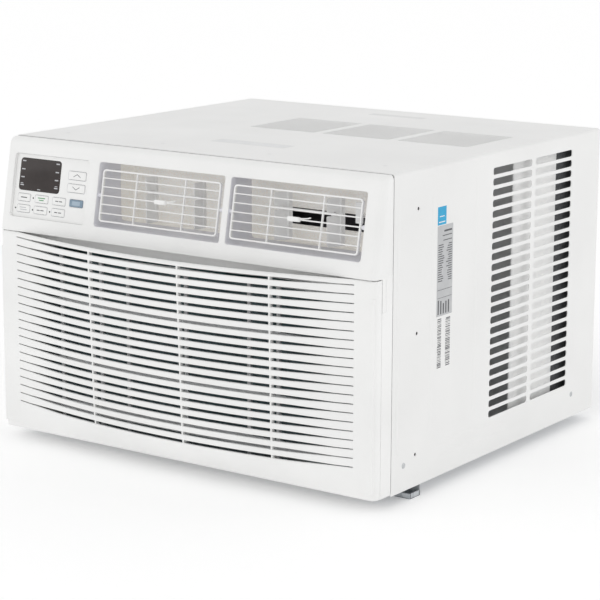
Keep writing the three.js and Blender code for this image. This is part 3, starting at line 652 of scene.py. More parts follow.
def run_tree(made, tree, values):
    """Puts a tree on an object, sets its inputs by identifier, and keeps the result as plain mesh."""
    modifier = made.modifiers.new(tree.name, "NODES")
    modifier.node_group = tree
    for item in tree.interface.items_tree:
        if item.in_out == "INPUT" and item.name in values:
            modifier[item.identifier] = values[item.name]
    baked = evaluated_mesh(made)
    made.modifiers.clear()
    return baked


def repeated(name, parts, material, tree, values, sharp=32):
    """One object made of copies of a small part by one of the trees."""
    made = shape(name, parts, material, sharp)
    baked = run_tree(made, tree, {**values, "Material": material})
    made.data = baked
    baked.shade_smooth()
    baked.set_sharp_from_angle(angle=math.radians(sharp))
    return made


def merge(name, pieces):
    """Joins finished meshes into one object."""
    work = bmesh.new()
    materials = []
    for piece in pieces:
        used = piece.data.materials
        offset = []
        for material in used:
            if material not in materials:
                materials.append(material)
            offset.append(materials.index(material))
        first = len(work.faces)
        work.from_mesh(piece.data)
        work.faces.ensure_lookup_table()
        for face in work.faces[first:]:
            face.material_index = offset[face.material_index] if offset else 0
    mesh = bpy.data.meshes.new(name)
    work.to_mesh(mesh)
    work.free()
    for material in materials:
        mesh.materials.append(material)
    for piece in pieces:
        bpy.data.objects.remove(piece)
    return add_object(name, mesh)


print("trees:", [t.name for t in bpy.data.node_groups])

# %% [markdown]
# ## The hinged intake panel
# The lower front is one moulding: it bows out in the middle, and long slots narrow to blunt tips towards
# its ends. Cutting the slots with booleans would leave long thin triangles. Instead the skin is
# laid out as a grid whose rows follow the slot edges: where a slot is open its cells are left out,
# and its edges turn inwards as a rounded lip, so the bars between slots look as thick as they are.

# %% Intake panel
PANEL_REAR = -27.3
PANEL_LOW, PANEL_HIGH = 3.0, 299.5
PANEL_FLAT = 298.0                        # the bow starts here
CORNER = 10.0
SLOTS, SLOT_FIRST, SLOT_PITCH = 21, 45.6, 12.32
SLOT_OPEN = 4.5                           # slot height over the middle
SLOT_FULL, SLOT_END = 205.0, 297.0        # full height up to here, narrow and blunt there
SLOT_TIP = 0.3                            # share of the height left at the blunt end
LIP = 3.6                                 # how deep a slot's edge turns in
PANEL_SKIN = 1.6
CORNER_STEPS = 7
PANEL_STATIONS = (0, 20, 40, 60, 80, 100, 120, 140, 160, 180, 200, 214, 226, 238, 250, 260, 270, 278, 285,
    291,
                  295.8, 297, 298.6)      # across the front, from the middle outwards
SIDE_STATION = -29.0                      # on the side, between the round corner and the rear edge
PLAIN_LOW = (3, 3.6, 5, 8, 11, 14, 20, 26, 33, 38)
PLAIN_HIGH = (298.3, 299.1, PANEL_HIGH)
RIBS_X = (-128, 36, 179)
LEVELS = [(3, -40, 0), (8, -40.4, 6.5), (14, -41, 12.5), (20, -41.4, 18), (30, -41.8, 27), (40, -42, 34.4),
          (60, -42, 36), (296, -42, 46), (298.3, -41.4, 45), (299.5, -40, 42.5)]


def level(z, column):
    """Straight face (1) or bow (2) at a height, between the listed levels."""
    for low, high in zip(LEVELS, LEVELS[1:]):
        if z <= high[0]:
            t = max(0.0, (z - low[0]) / (high[0] - low[0]))
            return low[column] + t * (high[column] - low[column])
    return LEVELS[-1][column]


def slot_open(x):
    x = abs(x)
    if x >= SLOT_END:
        return 0.0
    return SLOT_OPEN * min(1.0, max(SLOT_TIP, (SLOT_END - x) / (SLOT_END - SLOT_FULL)))


def panel_columns():
    """Plan stations from the left rear edge, round the corner, across the bow and back."""
    half = [("front", x) for x in PANEL_STATIONS]
    half += [("corner", math.radians(90 * i / CORNER_STEPS)) for i in range(1, CORNER_STEPS + 1)]
    half += [("side", SIDE_STATION), ("side", PANEL_REAR)]
    return [(kind, value, -1) for kind, value in reversed(half)] + [(kind, value, 1) for kind,
        value in half[1:]]


def panel_point(station, z, inset):
    """A point of the panel's outer skin, moved inwards by inset."""
    kind, value, side = station
    face, bow = level(z, 1), level(z, 2)
    if kind == "front":
        t = min(1.0, value / PANEL_FLAT)
        y = face - bow * (1 - t * t)
        slope = 2 * bow * t / PANEL_FLAT
        length = math.hypot(1, slope)
        return (side * (value - inset * slope / length), y + inset / length, z)
    if kind == "corner":
        cx, cy = HALF - CORNER, face + CORNER
        r = CORNER - inset
        return (side * (cx + r * math.sin(value)), cy - r * math.cos(value), z)
    return (side * (HALF - inset), value, z)


# Each row of points follows a rule: a plain height, or one step of a slot's lip.
rows = [("plain", z) for z in PLAIN_LOW]
for i in range(SLOTS):
    middle = SLOT_FIRST + i * SLOT_PITCH
    rows += [("lip", middle, -1, step) for step in range(5)]
    rows += [("lip", middle, 1, step) for step in reversed(range(5))]
    rows.append(("plain", middle + SLOT_PITCH / 2 if i < SLOTS - 1 else 297.0))
rows += [("plain", z) for z in PLAIN_HIGH]
LIP_STEPS = [(1.5, 0.0), (0.75, 0.12), (0.25, 0.5), (0.0, 1.1), (0.0, LIP)]   # beyond the opening, depth


def row_points(rule, columns):
    line = []
    for station in columns:
        if rule[0] == "plain":
            inset = 1.2 if rule[1] <= PANEL_LOW else 0.0
            line.append(panel_point(station, rule[1], inset))
            continue
        _, middle, way, step = rule
        open_here = slot_open(station[1]) if station[0] == "front" else 0.0
        share = open_here / SLOT_OPEN
        beyond, depth = LIP_STEPS[step]
        z = middle + way * (open_here / 2 + beyond * min(1.0, share * 3))
        line.append(panel_point(station, z, depth * min(1.0, share * 2)))
    return line


def shut(station):
    return station[0] != "front" or slot_open(station[1]) < 1e-9


columns = panel_columns()
n = len(columns)
points = [p for rule in rows for p in row_points(rule, columns)]
faces = []
for k, rule in enumerate(rows[:-1]):
    across_slot = rule[0] == "lip" and rule[2:] == (-1, 4)
    for i in range(n - 1):
        if across_slot and not (shut(columns[i]) and shut(columns[i + 1])):
            continue
        faces.append([k * n + i, k * n + i + 1, (k + 1) * n + i + 1, (k + 1) * n + i])
panel = shape("intake_panel", [(points, faces)], white_abs, 40)
add_thickness(panel, PANEL_SKIN)
outward = sum((p.normal.y for p in panel.data.polygons if abs(p.center.x) < 0.2), 0.0)
if outward > 0:
    panel.data.flip_normals()
with_modifiers(panel, 40)


def panel_strip(x, half_width, front, back, z0, z1, steps=12):
    """An upright rib that follows the bowed skin at a distance behind it."""
    rings = []
    for i in range(steps + 1):
        z = z0 + (z1 - z0) * i / steps
        _, y, _ = panel_point(("front", abs(x), 1), z, 0.0)
        rings.append([(x - half_width, y + front, z), (x + half_width, y + front, z),
                      (x + half_width, y + back, z), (x - half_width, y + back, z)])
    return loft(rings)


ribs = [panel_strip(x, 1.1, 0.7, 8.0, 38, 297) for x in RIBS_X]
back_frame = []
for side in (-1, 1):
    for x0, x1, y0, y1, z0, z1 in ((300, 328, -41, -38.8, 12, 276), (318, 327.4, -38.8, -28, 268, 273),
                                   (318, 327.4, -38.8, -28, 12, 16)):
        back_frame.append(block(*sorted((side * x0, side * x1)), y0, y1, z0, z1))
# The finger recess: a shelf slopes down and back from the panel's upper edge, and closes its top.
SHELF_BACK, SHELF_TOP, SHELF_SLOPE = -38.6, 296.4, 0.27
shelf = []
for x in range(-290, 291, 20):
    _, y, _ = panel_point(("front", abs(x), 1), SHELF_TOP, 1.0)
    low = SHELF_TOP - SHELF_SLOPE * (SHELF_BACK - y)
    shelf.append([(x, y, SHELF_TOP), (x, SHELF_BACK, low), (x, SHELF_BACK, low - 1.4),
        (x, y, SHELF_TOP - 1.4)])
back_frame.append(loft(shelf))
# The floor of the panel and its two hinge knuckles.
floor_ring = [panel_point(station, 3.2, 1.0) for station in columns]
back_frame.append(loft([[(x, y, z) for x, y, _ in floor_ring] for z in (3.05, 5.6)]))
knuckle = [(0, -12), (3.0, -12), (3.2, -11), (3.2, 11), (3.0, 12), (0, 12)]
for x in (-255, 255):
    back_frame.append(turned(knuckle, (x, -28.5, 8.8), "x", 24))
panel_inside = shape("intake_panel_ribs", ribs + back_frame, white_abs)
intake_panel = merge("intake_panel_moulding", [panel, panel_inside])
finish(intake_panel, "grille", ["intake_grille"])
print("panel faces:", len(intake_panel.data.polygons), "slots:", SLOTS)

# %% [markdown]
# ## The air filter
# Behind the panel a grey frame holds a fine net. The frame is a plate with twenty-eight windows. A real
# net has about fifty strands in 100 mm; it is drawn at a 3 mm pitch so that it shows as a net and
# stays light. One strand each way, copied in rows, makes it.

# %% Air filter
FILTER_EDGE = (-300, 300, 14, 278)
FILTER_DEPTH = (-36.4, -31.5)
BARS_X = [-290, -216, -142, -92, 12, 121, 170, 290]
BARS_Z = [(22, 0), (52, 8.0), (120, 3.4), (207, 3.6), (273.5, 0)]   # height and half width
BAR_X = 2.6                               # half width of the upright bars
windows = []
for x0, x1 in zip(BARS_X, BARS_X[1:]):
    for (z0, half0), (z1, half1) in zip(BARS_Z, BARS_Z[1:]):
        left = x0 if x0 == BARS_X[0] else x0 + BAR_X
        right = x1 if x1 == BARS_X[-1] else x1 - BAR_X
        windows.append(rounded(left, right, z0 + half0, z1 - half1, 3, 3))
frame_plate = plate(rounded(*FILTER_EDGE, 5), *FILTER_DEPTH, upright_xz, windows)
grip = plate(rounded(-20, 20, 268.5, 279, 4), -36.0, -33.2, upright_xz)
filter_frame = shape("filter_frame", [frame_plate, grip], grey_pp)
STRAND = 0.28                             # half a strand's thickness
upright_strand = block(-290, -290 + 2 * STRAND, -34.6, -34.6 + 2 * STRAND, 21, 274.5, 0.1)
level_strand = block(-291, 291, -34.0, -34.0 + 2 * STRAND, 23, 23 + 2 * STRAND, 0.1)
net_up = repeated("filter_net_up", [upright_strand], net_pp, rows_tree, {"Count": 193, "Step": (0.003, 0, 0)})
net_across = repeated("filter_net_across", [level_strand], net_pp, rows_tree,
    {"Count": 84, "Step": (0, 0, 0.003)})
air_filter = merge("air_filter_panel", [filter_frame, net_up, net_across])
finish(air_filter, "filter", ["air_filter"])
print("filter faces:", len(air_filter.data.polygons))

# %% [markdown]
# ## The fixed front
# The upper front leans back and is rounded over at the top and at the corners. It has two outlets
# and a shallow tray for the controls. Here booleans are the clean way: a rounded body, hollowed by a
# smaller copy, then cut by rounded prisms that lie square to the leaning face.

# %% Front frame
TOP_ROUND = [(300.8, 0), (330, 0), (365, 0), (400, 0), (425, 0), (428.6, 0.45), (430.9, 1.5), (432.6, 3.0),
    (433.6, 4.9),
             (434.0, 7.2)]


def front_ring(z, back, inset, rear):
    """Plan outline of the upper front at one height, with round front corners."""
    y = face_y(z) + back + inset
    x = HALF - inset - back * 0.55
    r = max(0.8, CORNER - inset)
    ring = [(-x, rear, z)]
    for middle, start in ((-x + r, 180), (x - r, 270)):
        for i in range(9):
            a = math.radians(start + 90 * i / 8)
            ring.append((middle + r * math.cos(a), y + r + r * math.sin(a), z))
    return ring + [(x, rear, z)]


def front_body(inset, rear, low):
    return loft([front_ring(max(low, z - (inset if z > 425 else 0)), back, inset, rear) for z,
        back in TOP_ROUND])


# Each outlet: left and right edge, the middle of its louvre, and how far its vanes stand turned.
VENTS = {"left": (-151.5, 72.0, -40.0, 0.0), "right": (82.0, 303.5, 191.8, 30.0)}
VENT_LOW, VENT_HIGH = 21.5, 113.5
VENT_DEPTH = 20.0
FRONT_LOW = 300.8                         # lower edge of the leaning part
WALL = 2.6
TRAY = (-312.0, -170.0, 21.0, 113.5)
TRAY_DEPTH = 5.0
GROOVE = 1.7                              # the front stops this far before the joint
front = shape("front_frame", [front_body(0, -GROOVE, FRONT_LOW)], white_abs)
cutters = [shape("cut_inside", [front_body(WALL, 3, 297)], white_abs)]
for side, (x0, x1, _, _) in VENTS.items():
    hole = rounded(x0, x1, VENT_LOW, VENT_HIGH, 4)
    cutters.append(shape("cut_" + side, [plate(hole, -20, 60, on_leaning)], white_abs))
cutters.append(shape("cut_tray", [plate(rounded(*TRAY, 4), -20, 20, on_leaning)], white_abs))
for cutter in cutters:
    carve = front.modifiers.new(cutter.name, "BOOLEAN")
    carve.object = cutter
    carve.operation = "DIFFERENCE"
    carve.solver = "EXACT"
add_bevel(front, 0.7, 50)
with_modifiers(front)
for cutter in cutters:
    bpy.data.objects.remove(cutter)

# Side cheeks, seat and lower rail behind the hinged panel, with the finger notch in each cheek.
NOTCH_LOW, NOTCH_HIGH = 255.5, 299.5
CHEEK_FRONT, CHEEK_TOP = -26.7, 304
cheek = [(CHEEK_FRONT, 3), (-GROOVE, 3), (-GROOVE, CHEEK_TOP), (CHEEK_FRONT, CHEEK_TOP),
    (CHEEK_FRONT, NOTCH_HIGH),
         (-17.6, NOTCH_HIGH), (-16.6, NOTCH_HIGH - 1), (-16.6, NOTCH_LOW + 1), (-17.6, NOTCH_LOW),
         (CHEEK_FRONT, NOTCH_LOW)]
notch_floor = [(-25.4, NOTCH_LOW - 3), (-15, NOTCH_LOW - 3), (-15, 301), (-25.4, 301)]
cheeks = []
for outline, set_in in ((cheek, 0.02), (notch_floor, 0.5)):
    for side in (-1, 1):
        cheeks.append(plate(outline, side * (HALF - set_in), side * (HALF - WALL), upright_yz))
seat_window = rounded(-296, 296, 20, 280.5, 6)
cheeks.append(plate(rounded(-HALF + 1.4, HALF - 1.4, 4, 284, 2), -8, -5.4, upright_xz, [seat_window]))
for y0, y1, z0, z1 in ((-26.6, -0.2, 3, 5.6), (-25, -22.4, 282, 301.6), (-25, -6, 281.8, 284.4)):
    cheeks.append(block(-HALF + 1.2, HALF - 1.2, y0, y1, z0, z1, 0.8))
# Lip that closes the underside of the leaning part, just above the hinged panel.
lip_ring = front_ring(301, 0, 0.3, -22.5)
cheeks.append(loft([[(x, y, z) for x, y, _ in lip_ring] for z in (300.9, 303.2)]))
# The tray's floor rim, so that no gap shows round the control plate.
cheeks.append(plate(rounded(*grown(TRAY, 1.6), 5), 1.2, TRAY_DEPTH + 3, on_leaning,
    [rounded(*grown(TRAY, -0.1), 4)]))
front_back = shape("front_frame_back", cheeks, white_abs)
front_moulding = merge("front_frame_moulding", [front, front_back])
finish(front_moulding, "chassis", ["front_bezel"])
print("front frame faces:", len(front_moulding.data.polygons))

# %% [markdown]
# ## Outlet liners
# Each outlet is lined by a grey funnel that reaches back to the foam duct, with small bosses that
# carry the louvre's pivots. A loft from a rounded opening on the leaning face to an upright one at
# the back keeps the walls smooth.

# %% Outlet liners
def funnel(x0, x1, grow, front_depth):
    """The mouth of an outlet on the leaning face, and its upright end at the back."""
    mouth = rounded(*grown((x0, x1, VENT_LOW, VENT_HIGH), grow), 4 + grow)
    low = FACE_Z + VENT_LOW * math.cos(LEAN) - grow
    high = FACE_Z + VENT_HIGH * math.cos(LEAN) + grow
    end = rounded(x0 + 3 - grow, x1 - 3 + grow, low + 1, high - 1, 5 + grow)
    return [on_face(u, front_depth, v) for u, v in mouth], [(u, VENT_DEPTH - 0.2, v) for u, v in end]


RING_MID = 66.8                           # the louvres' middle, up the leaning face
BOSS = [(0, 0), (3.2, 0), (3.2, 5.4), (2.6, 6.2), (0, 6.2)]
DIMPLE = [(0, 0), (1.5, 0), (1.5, 0.3), (0, 0.3)]
for side, (x0, x1, _, _) in VENTS.items():
    outer, inner = funnel(x0, x1, 1.4, 1.0), funnel(x0, x1, -0.05, 0.9)
    parts, sockets = [loft([inner[1], inner[0], outer[0], outer[1], inner[1]], caps=False)], []
    for edge_x, way in ((x0, 1), (x1, -1)):
        parts.append(turned(facing(BOSS, way), on_face(edge_x, 6, RING_MID), "x", 24))
        for dy in (-5.5, 5.5):
            sockets.append(turned(facing(DIMPLE, way), (edge_x + way * 0.9, 1.0 + dy, 374.5), "x", 16))
    liner = merge("outlet_liner_" + side, [
        shape("liner_walls", parts, grey_abs), shape("liner_sockets", sockets, dark_hole)])
    finish(liner, "chassis")
# Foam lips narrow the hole at the back of the duct from above and from below.
lips = [block(109, 249, 57.4, 60.8, z0, z1, 1.6) for z0, z1 in ((364.5, 377.5), (334.5, 341.5))]
lip = shape("duct_outlet_lip", lips, foam_with_painted_glow)
finish(lip, "chassis")
# The gasket sits in the groove of the joint, a little behind the outer faces; its dark grey is painted shade,
# the dark line of the joint.
GASKET_SPANS = [(-HALF + 1.5, -HALF + 3.2, 4, 424), (HALF - 3.2, HALF - 1.5, 4, 424),
    (-HALF + 12, HALF - 12, 429.2, 432.0)]
gasket_parts = [block(x0, x1, -2.6, 0.5, z0, z1, 0.3) for x0, x1, z0, z1 in GASKET_SPANS]
gasket = shape("joint_gasket_painted_shade", gasket_parts, dark_foam_painted_shade)
finish(gasket, "chassis")
print("outlet liners: 2, lip and gasket")

# %% [markdown]
# ## Louvre frames, vanes and tie bars
# A louvre frame is a thin rounded ring with five blades, two ribs and a thumb tab with a curled finger
# behind it; it tilts on two pins. The blades are one rounded bar copied in a row by the tree. Behind it
# two upright vanes turn together, joined by a tie bar.

# %% Louvres
RING_W, RING_H = 209.5, 74.6
RIB_AT = 43.0
RIM = 2.3
BLADES = 5
RIB_SECTION = [(-0.9, -0.4), (-0.9, -3.6), (-0.5, -4.3), (0.5, -4.3), (0.9, -3.6), (0.9, -0.4)]
PIN = [(0, 0), (2.4, 0), (2.4, 3.8), (0, 3.8)]
TAB_LAYERS = ((-3.2, 0.86), (-2.7, 0.97), (-1.8, 1.0), (1.8, 1.0), (2.7, 0.97), (3.2, 0.86))   # height, share
FINGER_SECTION = [(-1.2, -0.9), (1.2, -0.9), (1.5, 0), (1.2, 0.9), (-1.2, 0.9), (-1.5, 0)]
FINGER_PATH = ((6, 1.5, 1.2), (13, 2.6, 1.8), (19, 4.6, 2.6), (23, 5.4, 4.0))
BLADE_SECTION = [(-0.7, 7.6), (-0.9, 5), (-0.95, 3), (-0.7, 1.6), (0, 1.15), (0.7, 1.6), (0.95, 3), (0.9, 5),
    (0.7, 7.6)]
TAB_SHIFT = {"left": 4.5, "right": 0.0}
for side, (_, _, ring, _) in VENTS.items():
    half_w, half_h = RING_W / 2, RING_H / 2
    edge = (ring - half_w, ring + half_w, RING_MID - half_h, RING_MID + half_h)
    outer, inner = rounded(*edge, 5), rounded(*grown(edge, -RIM), 3)
    rings = []
    for outline, depth in ((inner, 1.6), (rounded(*grown(edge, -0.6), 4.6), 1.0), (outer, 1.7), (outer, 5.6),
                           (inner, 5.8), (inner, 1.6)):
        rings.append([on_face(u, depth, v) for u, v in outline])
    frame_ring = loft(rings, caps=False)
    ribs = [loft([[on_face(x + u, 6 + w, s) for u, w in RIB_SECTION]
                  for s in (RING_MID - half_h + 1, RING_MID + half_h - 1)]) for x in (ring - RIB_AT,
                  ring + RIB_AT)]
    pins = [turned(facing(PIN, way), on_face(ring + way * (half_w - 0.5), 6, RING_MID), "x",
        20) for way in (-1, 1)]
    # The thumb tab: a flat tongue with a round nose in front of the middle blade.
    x = ring + TAB_SHIFT[side]
    tab = loft([[on_face(u * k + x, v * k + 0.4, RING_MID + h) for u,
        v in rounded(-10, 10, -4.0, 3.4, 3.2, 5)]
                for h, k in TAB_LAYERS])
    finger = loft([[on_face(x + u, d + w, RING_MID + s + h) for w, h in FINGER_SECTION] for u, d,
        s in FINGER_PATH])
    frame_part = shape("louvre_ring_" + side, [frame_ring, tab, finger] + ribs + pins, white_abs)
    add_bevel(frame_part, 0.4, 60)
    with_modifiers(frame_part)
    step_s = RING_H / (BLADES + 1)
    first = RING_MID - half_h + step_s
    blade = loft([[on_face(x, d, first + s) for s, d in BLADE_SECTION] for x in
                  (ring - half_w + 1, ring - 60, ring, ring + 60, ring + half_w - 1)])
    up = Vector(on_face(0, 0, step_s)) - Vector(on_face(0, 0, 0))
    blades = repeated("louvre_blades_" + side, [blade], white_abs, rows_tree, {
        "Count": BLADES, "Step": tuple(up / 1000)})
    louvre = merge("louvre_" + side, [frame_part, blades])
    finish(louvre, "louver_" + side, ["louver_frame_" + side])
print("louvres:", BLADES, "blades each")

# %% Vanes and tie bars
PIVOT_Y = 17.0
VANE_LOW, VANE_HIGH = 327.8, 393.5
TIE_REACH, TIE_Z = 12.0, 372.0


def turned_about(point, x, turn):
    """A point of a vane's own frame, turned about its pivot."""
    a = math.radians(-turn)
    u, v, z = point
    return (x + u * math.cos(a) - v * math.sin(a), PIVOT_Y + u * math.sin(a) + v * math.cos(a), z)


# Side view of a vane: the front edge has a notch for the tie bar and round corners.
upper = [(6, VANE_HIGH - 1), (5, VANE_HIGH), (-19, VANE_HIGH), (-20.6, VANE_HIGH - 2)]
notch = [(-20.8, 3.4), (-19.6, 2.8), (-8.6, 2.8), (-8, 2), (-8, -2), (-8.6, -2.8), (-19.6, -2.8),
    (-20.8, -3.4)]
vane_outline = [(-20.6, VANE_LOW + 2), (-19, VANE_LOW), (5, VANE_LOW), (6, VANE_LOW + 1)] + upper + [
    (y, TIE_Z + rise) for y, rise in notch]
HUB = [(0, VANE_LOW), (2.2, VANE_LOW), (2.2, VANE_HIGH), (0, VANE_HIGH)]
COLLAR = [(0, -2.6), (2.1, -2.6), (2.3, -2.2), (2.3, 2.2), (2.1, 2.6), (0, 2.6)]
for side, (_, _, ring, turn) in VENTS.items():
    for number, x in ((1, ring - RIB_AT), (2, ring + RIB_AT)):
        blade = plate(vane_outline, -0.85, 0.85, lambda u, v, d: turned_about((d, u, v), x, turn))
        vane = shape(f"vane_{side}_{number}_blade", [blade, turned(HUB, (x, PIVOT_Y, 0), "z", 20)], white_abs)
        finish(vane, f"vane_{side}_{number}", [f"vane_{side}_{number}"])
    a = math.radians(turn)
    bar_x = ring - TIE_REACH * math.sin(a)
    bar_y = PIVOT_Y - TIE_REACH * math.cos(a)
    parts = [block(bar_x - RIB_AT - 6, bar_x + RIB_AT + 6, bar_y - 1.1, bar_y + 1.1, TIE_Z - 1.9, TIE_Z + 1.9,
        0.7)]
    parts += [turned(COLLAR, (x, bar_y, TIE_Z), "z", 16) for x in (bar_x - RIB_AT, bar_x + RIB_AT)]
    tie = shape("tie_bar_" + side, parts, white_abs)
    finish(tie, "tie_bar_" + side, ["vane_tie_bar_" + side])
print("vanes: 4, tie bars: 2")

# %% [markdown]
# ## The controls
# In the tray lie a plate, a smoked window and nine keys. Keys are low, rounded caps in close-fitting
# windows; a thin printed ring follows each one, and simple printed marks say what it does without any
# lettering. Marks are real, very thin solids, so that they stay sharp at any distance.

# %% Control plate, window and keys
FACE = TRAY_DEPTH
BUTTONS = {
    "up": (-210.7, -178.2, 83.8, 95.4), "down": (-210.7, -178.2, 65.6, 77.2),
    "power": (-203.7, -179.0, 45.1, 55.3), "mode": (-302.9, -279.5, 44.7, 55.2),
    "energy_saver": (-269.6, -245.2, 44.7, 55.2), "fan_speed": (-236.2, -212.0, 44.7, 55.2),
    "clean_reset": (-302.6, -278.5, 28.5, 39.0), "sleep": (-269.9, -245.4, 28.5, 39.0),
    "timer": (-235.9, -211.8, 28.5, 39.0)}
DISPLAY = (-303.9, -226.2, 60.6, 107.4)
INK = 0.05


def stroke(line, width, depth, place=on_leaning):
    """A printed line: a thin flat bar along each segment of a path."""
    parts = []
    for (u0, v0), (u1, v1) in zip(line, line[1:]):
        length = math.hypot(u1 - u0, v1 - v0)
        nx, ny = -(v1 - v0) / length * width / 2, (u1 - u0) / length * width / 2
        ends = [(u0 + nx, v0 + ny), (u0 - nx, v0 - ny), (u1 - nx, v1 - ny), (u1 + nx, v1 + ny)]
        parts.append(plate(ends, depth - INK, depth + INK, place))
    return parts


FIT = 0.3                                 # clearance round the window and the keys
windows = [rounded(*grown(DISPLAY, FIT), 5.2)] + [rounded(*grown(box, FIT), 2.0) for box in BUTTONS.values()]
fascia = shape("control_plate", [
    plate(rounded(*grown(TRAY, -FIT), 3.6), FACE, FACE + 2, on_leaning, windows)], white_abs)
rings = [plate(rounded(*grown(box, 0.85), 2.5), FACE - INK, FACE + INK, on_leaning,
    [rounded(*grown(box, 0.4), 2.2)])
         for box in BUTTONS.values()]
rings_part = shape("key_rings", rings, soft_ink)
leds = []
for x, s in ((-273.9, 50.4), (-306.2, 33.5), (-273.1, 33.3), (-240.0, 33.5)):
    lens = [(0, 0.5), (1.25, 0.5), (1.25, -0.05), (1.0, -0.3), (0.5, -0.45), (0, -0.5)]
    flat = turned(lens, (0, 0, 0), "y", 20)
    leds.append(([on_face(x + u, FACE + v, s + w) for u, v, w in flat[0]], flat[1]))
leds_part = shape("indicator_lenses", leds, dark_hole)
control_plate = merge("control_plate_printed", [fascia, rings_part, leds_part])
finish(control_plate, "chassis", ["control_panel"])

lens_outline = rounded(*DISPLAY, 5)
lens = shape("display_window", [soften(lens_outline, FACE - 0.3, FACE + 2, on_leaning, 0.5)], smoked_acrylic)
marks = []
for s in (68.0, 79.5, 91.0, 103.0):
    marks += stroke([(-236.0, s), (-229.5, s)], 1.7, FACE - 0.32)
    marks += stroke([(-301.0, s), (-294.5, s)], 1.7, FACE - 0.32)
marks += stroke([(-268, 63.2), (-262, 63.2)], 1.2, FACE - 0.32)
marks += stroke([(-301, 70.6), (-296, 70.6)], 1.0, FACE - 0.32) + stroke([(-235, 70.6), (-230, 70.6)], 1.0,
    FACE - 0.32)
marks_part = shape("display_marks", marks, soft_ink)
display = merge("display_window_printed", [lens, marks_part])
finish(display, "chassis", ["display_lens"])

KEY_TOP = FACE - 0.8
PRINT_DEPTH = KEY_TOP - 0.01
pale_blue_ink = film("pale_blue_ink", "#a9bac8", "#a2b4c3")
TWO_BARS = (dark_ink, [(1.2, [(-6.5, 0), (-1, 0)]), (1.2, [(0.6, 0), (6.5, 0)])])
KEY_MARKS = {                             # ink, then (line width, path about the key's middle)
    "up": (dark_ink, [(0.8, [(-6.5, -2), (0, 2), (6.5, -2)])]),
    "down": (dark_ink, [(0.8, [(-6.5, 2), (0, -2), (6.5, 2)])]),
    "energy_saver": (green_ink, [(1.3, [(-7, 1.5), (7, 1.5)]), (1.3, [(-4.5, -1.6), (4.5, -1.6)])]),
    "mode": (dark_ink, [(1.3, [(-6, 0), (6, 0)])]),
    "clean_reset": (soft_ink, [(1.1, [(-7, 1.5), (5, 1.5)]), (1.1, [(-6, -1.6), (7, -1.6)])])}
for key, box in BUTTONS.items():
    is_power = key == "power"
    cap = shape("key_" + key + "_cap", [soften(rounded(*box, 1.8), KEY_TOP, FACE + 4, on_leaning, 0.5)],
                blue_grey_abs if is_power else white_abs)
    cx, cz = (box[0] + box[1]) / 2, (box[2] + box[3]) / 2
    ink, lines = KEY_MARKS.get(key, TWO_BARS)
    mark = [part for width, path in lines
            for part in stroke([(cx + u, cz + v) for u, v in path], width, PRINT_DEPTH)]
    if is_power:
        ink = pale_blue_ink
        mark = [plate(rounded(cx - 7.4, cx + 7.4, cz - 2.9, cz + 2.9, 1.2), PRINT_DEPTH - INK,
            PRINT_DEPTH + INK,
                      on_leaning)]
    whole = merge("key_" + key, [cap, shape("key_" + key + "_mark", mark, ink)])
    finish(whole, "button_" + key, ["button_" + key])
print("keys:", len(BUTTONS))

# %% [markdown]
# ## The cabinet
# The cabinet is one sheet folded over the machine: two perforated sides and a perforated top with
# small bend radii, and a rim round the open back. Each flat part is an outline whose slots come from
# the perforated-sheet tree, so pitch and counts stay readable. The parts meet vertex to vertex, are
# merged, and Solidify gives the sheet its thickness.

# %% Cabinet
SHEET = 1.2
BEND = 4.0
FRONT_EDGE = 0.6
SIDE_COLUMNS, SIDE_ROWS = ((255.0, 365.0), (376.0, 485.0)), 24
SIDE_FIRST, SIDE_PITCH, SIDE_OPEN = 53.0, 15.2, 10.0
SASH_HOLES = ((60, 382), (60, 213), (60, 45))
TOP_VENTS = (-49.5, 132.0, 119.0)        # first centre, spacing, width
TOP_ROWS, TOP_FIRST, TOP_PITCH, TOP_OPEN = 26, 277.0, 5.1, 2.3


def sheet_curve(name, loops):
    """A flat outline with its odd holes as closed poly lines, in metres on the XY plane."""
    data = bpy.data.curves.new(name, "CURVE")
    data.dimensions = "3D"
    for loop in loops:
        spline = data.splines.new("POLY")
        spline.points.add(len(loop) - 1)
        for point, (u, v) in zip(spline.points, loop):
            point.co = (u / 1000, v / 1000, 0, 1)
        spline.use_cyclic_u = True
    return add_object(name, data)


def perforated(name, loops, values, place):
    """Fills the outline with the tree's slots in it, and stands the sheet in its place."""
    made = sheet_curve(name, loops)
    mesh = run_tree(made, sheet_tree, {**values, "Material": powder_coat})
    bpy.data.objects.remove(made)
    for vertex in mesh.vertices:
        vertex.co = at(*place(vertex.co.x * 1000, vertex.co.y * 1000))
    return add_object(name, mesh)


side_high = CABINET_HEIGHT - BEND
side_outline = [(FRONT_EDGE, 0), (CABINET_DEPTH, 0), (CABINET_DEPTH, side_high), (FRONT_EDGE, side_high)]
column_pitch = SIDE_COLUMNS[1][0] - SIDE_COLUMNS[0][0] - 0.5
side_values = {
    "Columns": 2, "Rows": SIDE_ROWS, "Column Pitch": (column_pitch / 1000, 0, 0),
    "Row Pitch": (0, SIDE_PITCH / 1000, 0),
    "First Slot": (sum(SIDE_COLUMNS[0]) / 2000, (SIDE_FIRST + SIDE_OPEN / 2) / 1000, 0),
    "Slot Width": (SIDE_COLUMNS[0][1] - SIDE_COLUMNS[0][0]) / 1000, "Slot Height": SIDE_OPEN / 1000,
    "Slot Corner": 0.0036}
sheets = []
for side, sign in (("left", -1), ("right", 1)):
    holes = [circle(y, z, 2.5, 14) for y, z in SASH_HOLES]
    if side == "left":
        holes.append(circle(40, 70, 9, 24))
    sheets.append(perforated("side_" + side, [side_outline] + holes, side_values,
                             lambda u, v, sign=sign: (sign * CABINET_HALF, u, v)))
top_half = CABINET_HALF - BEND
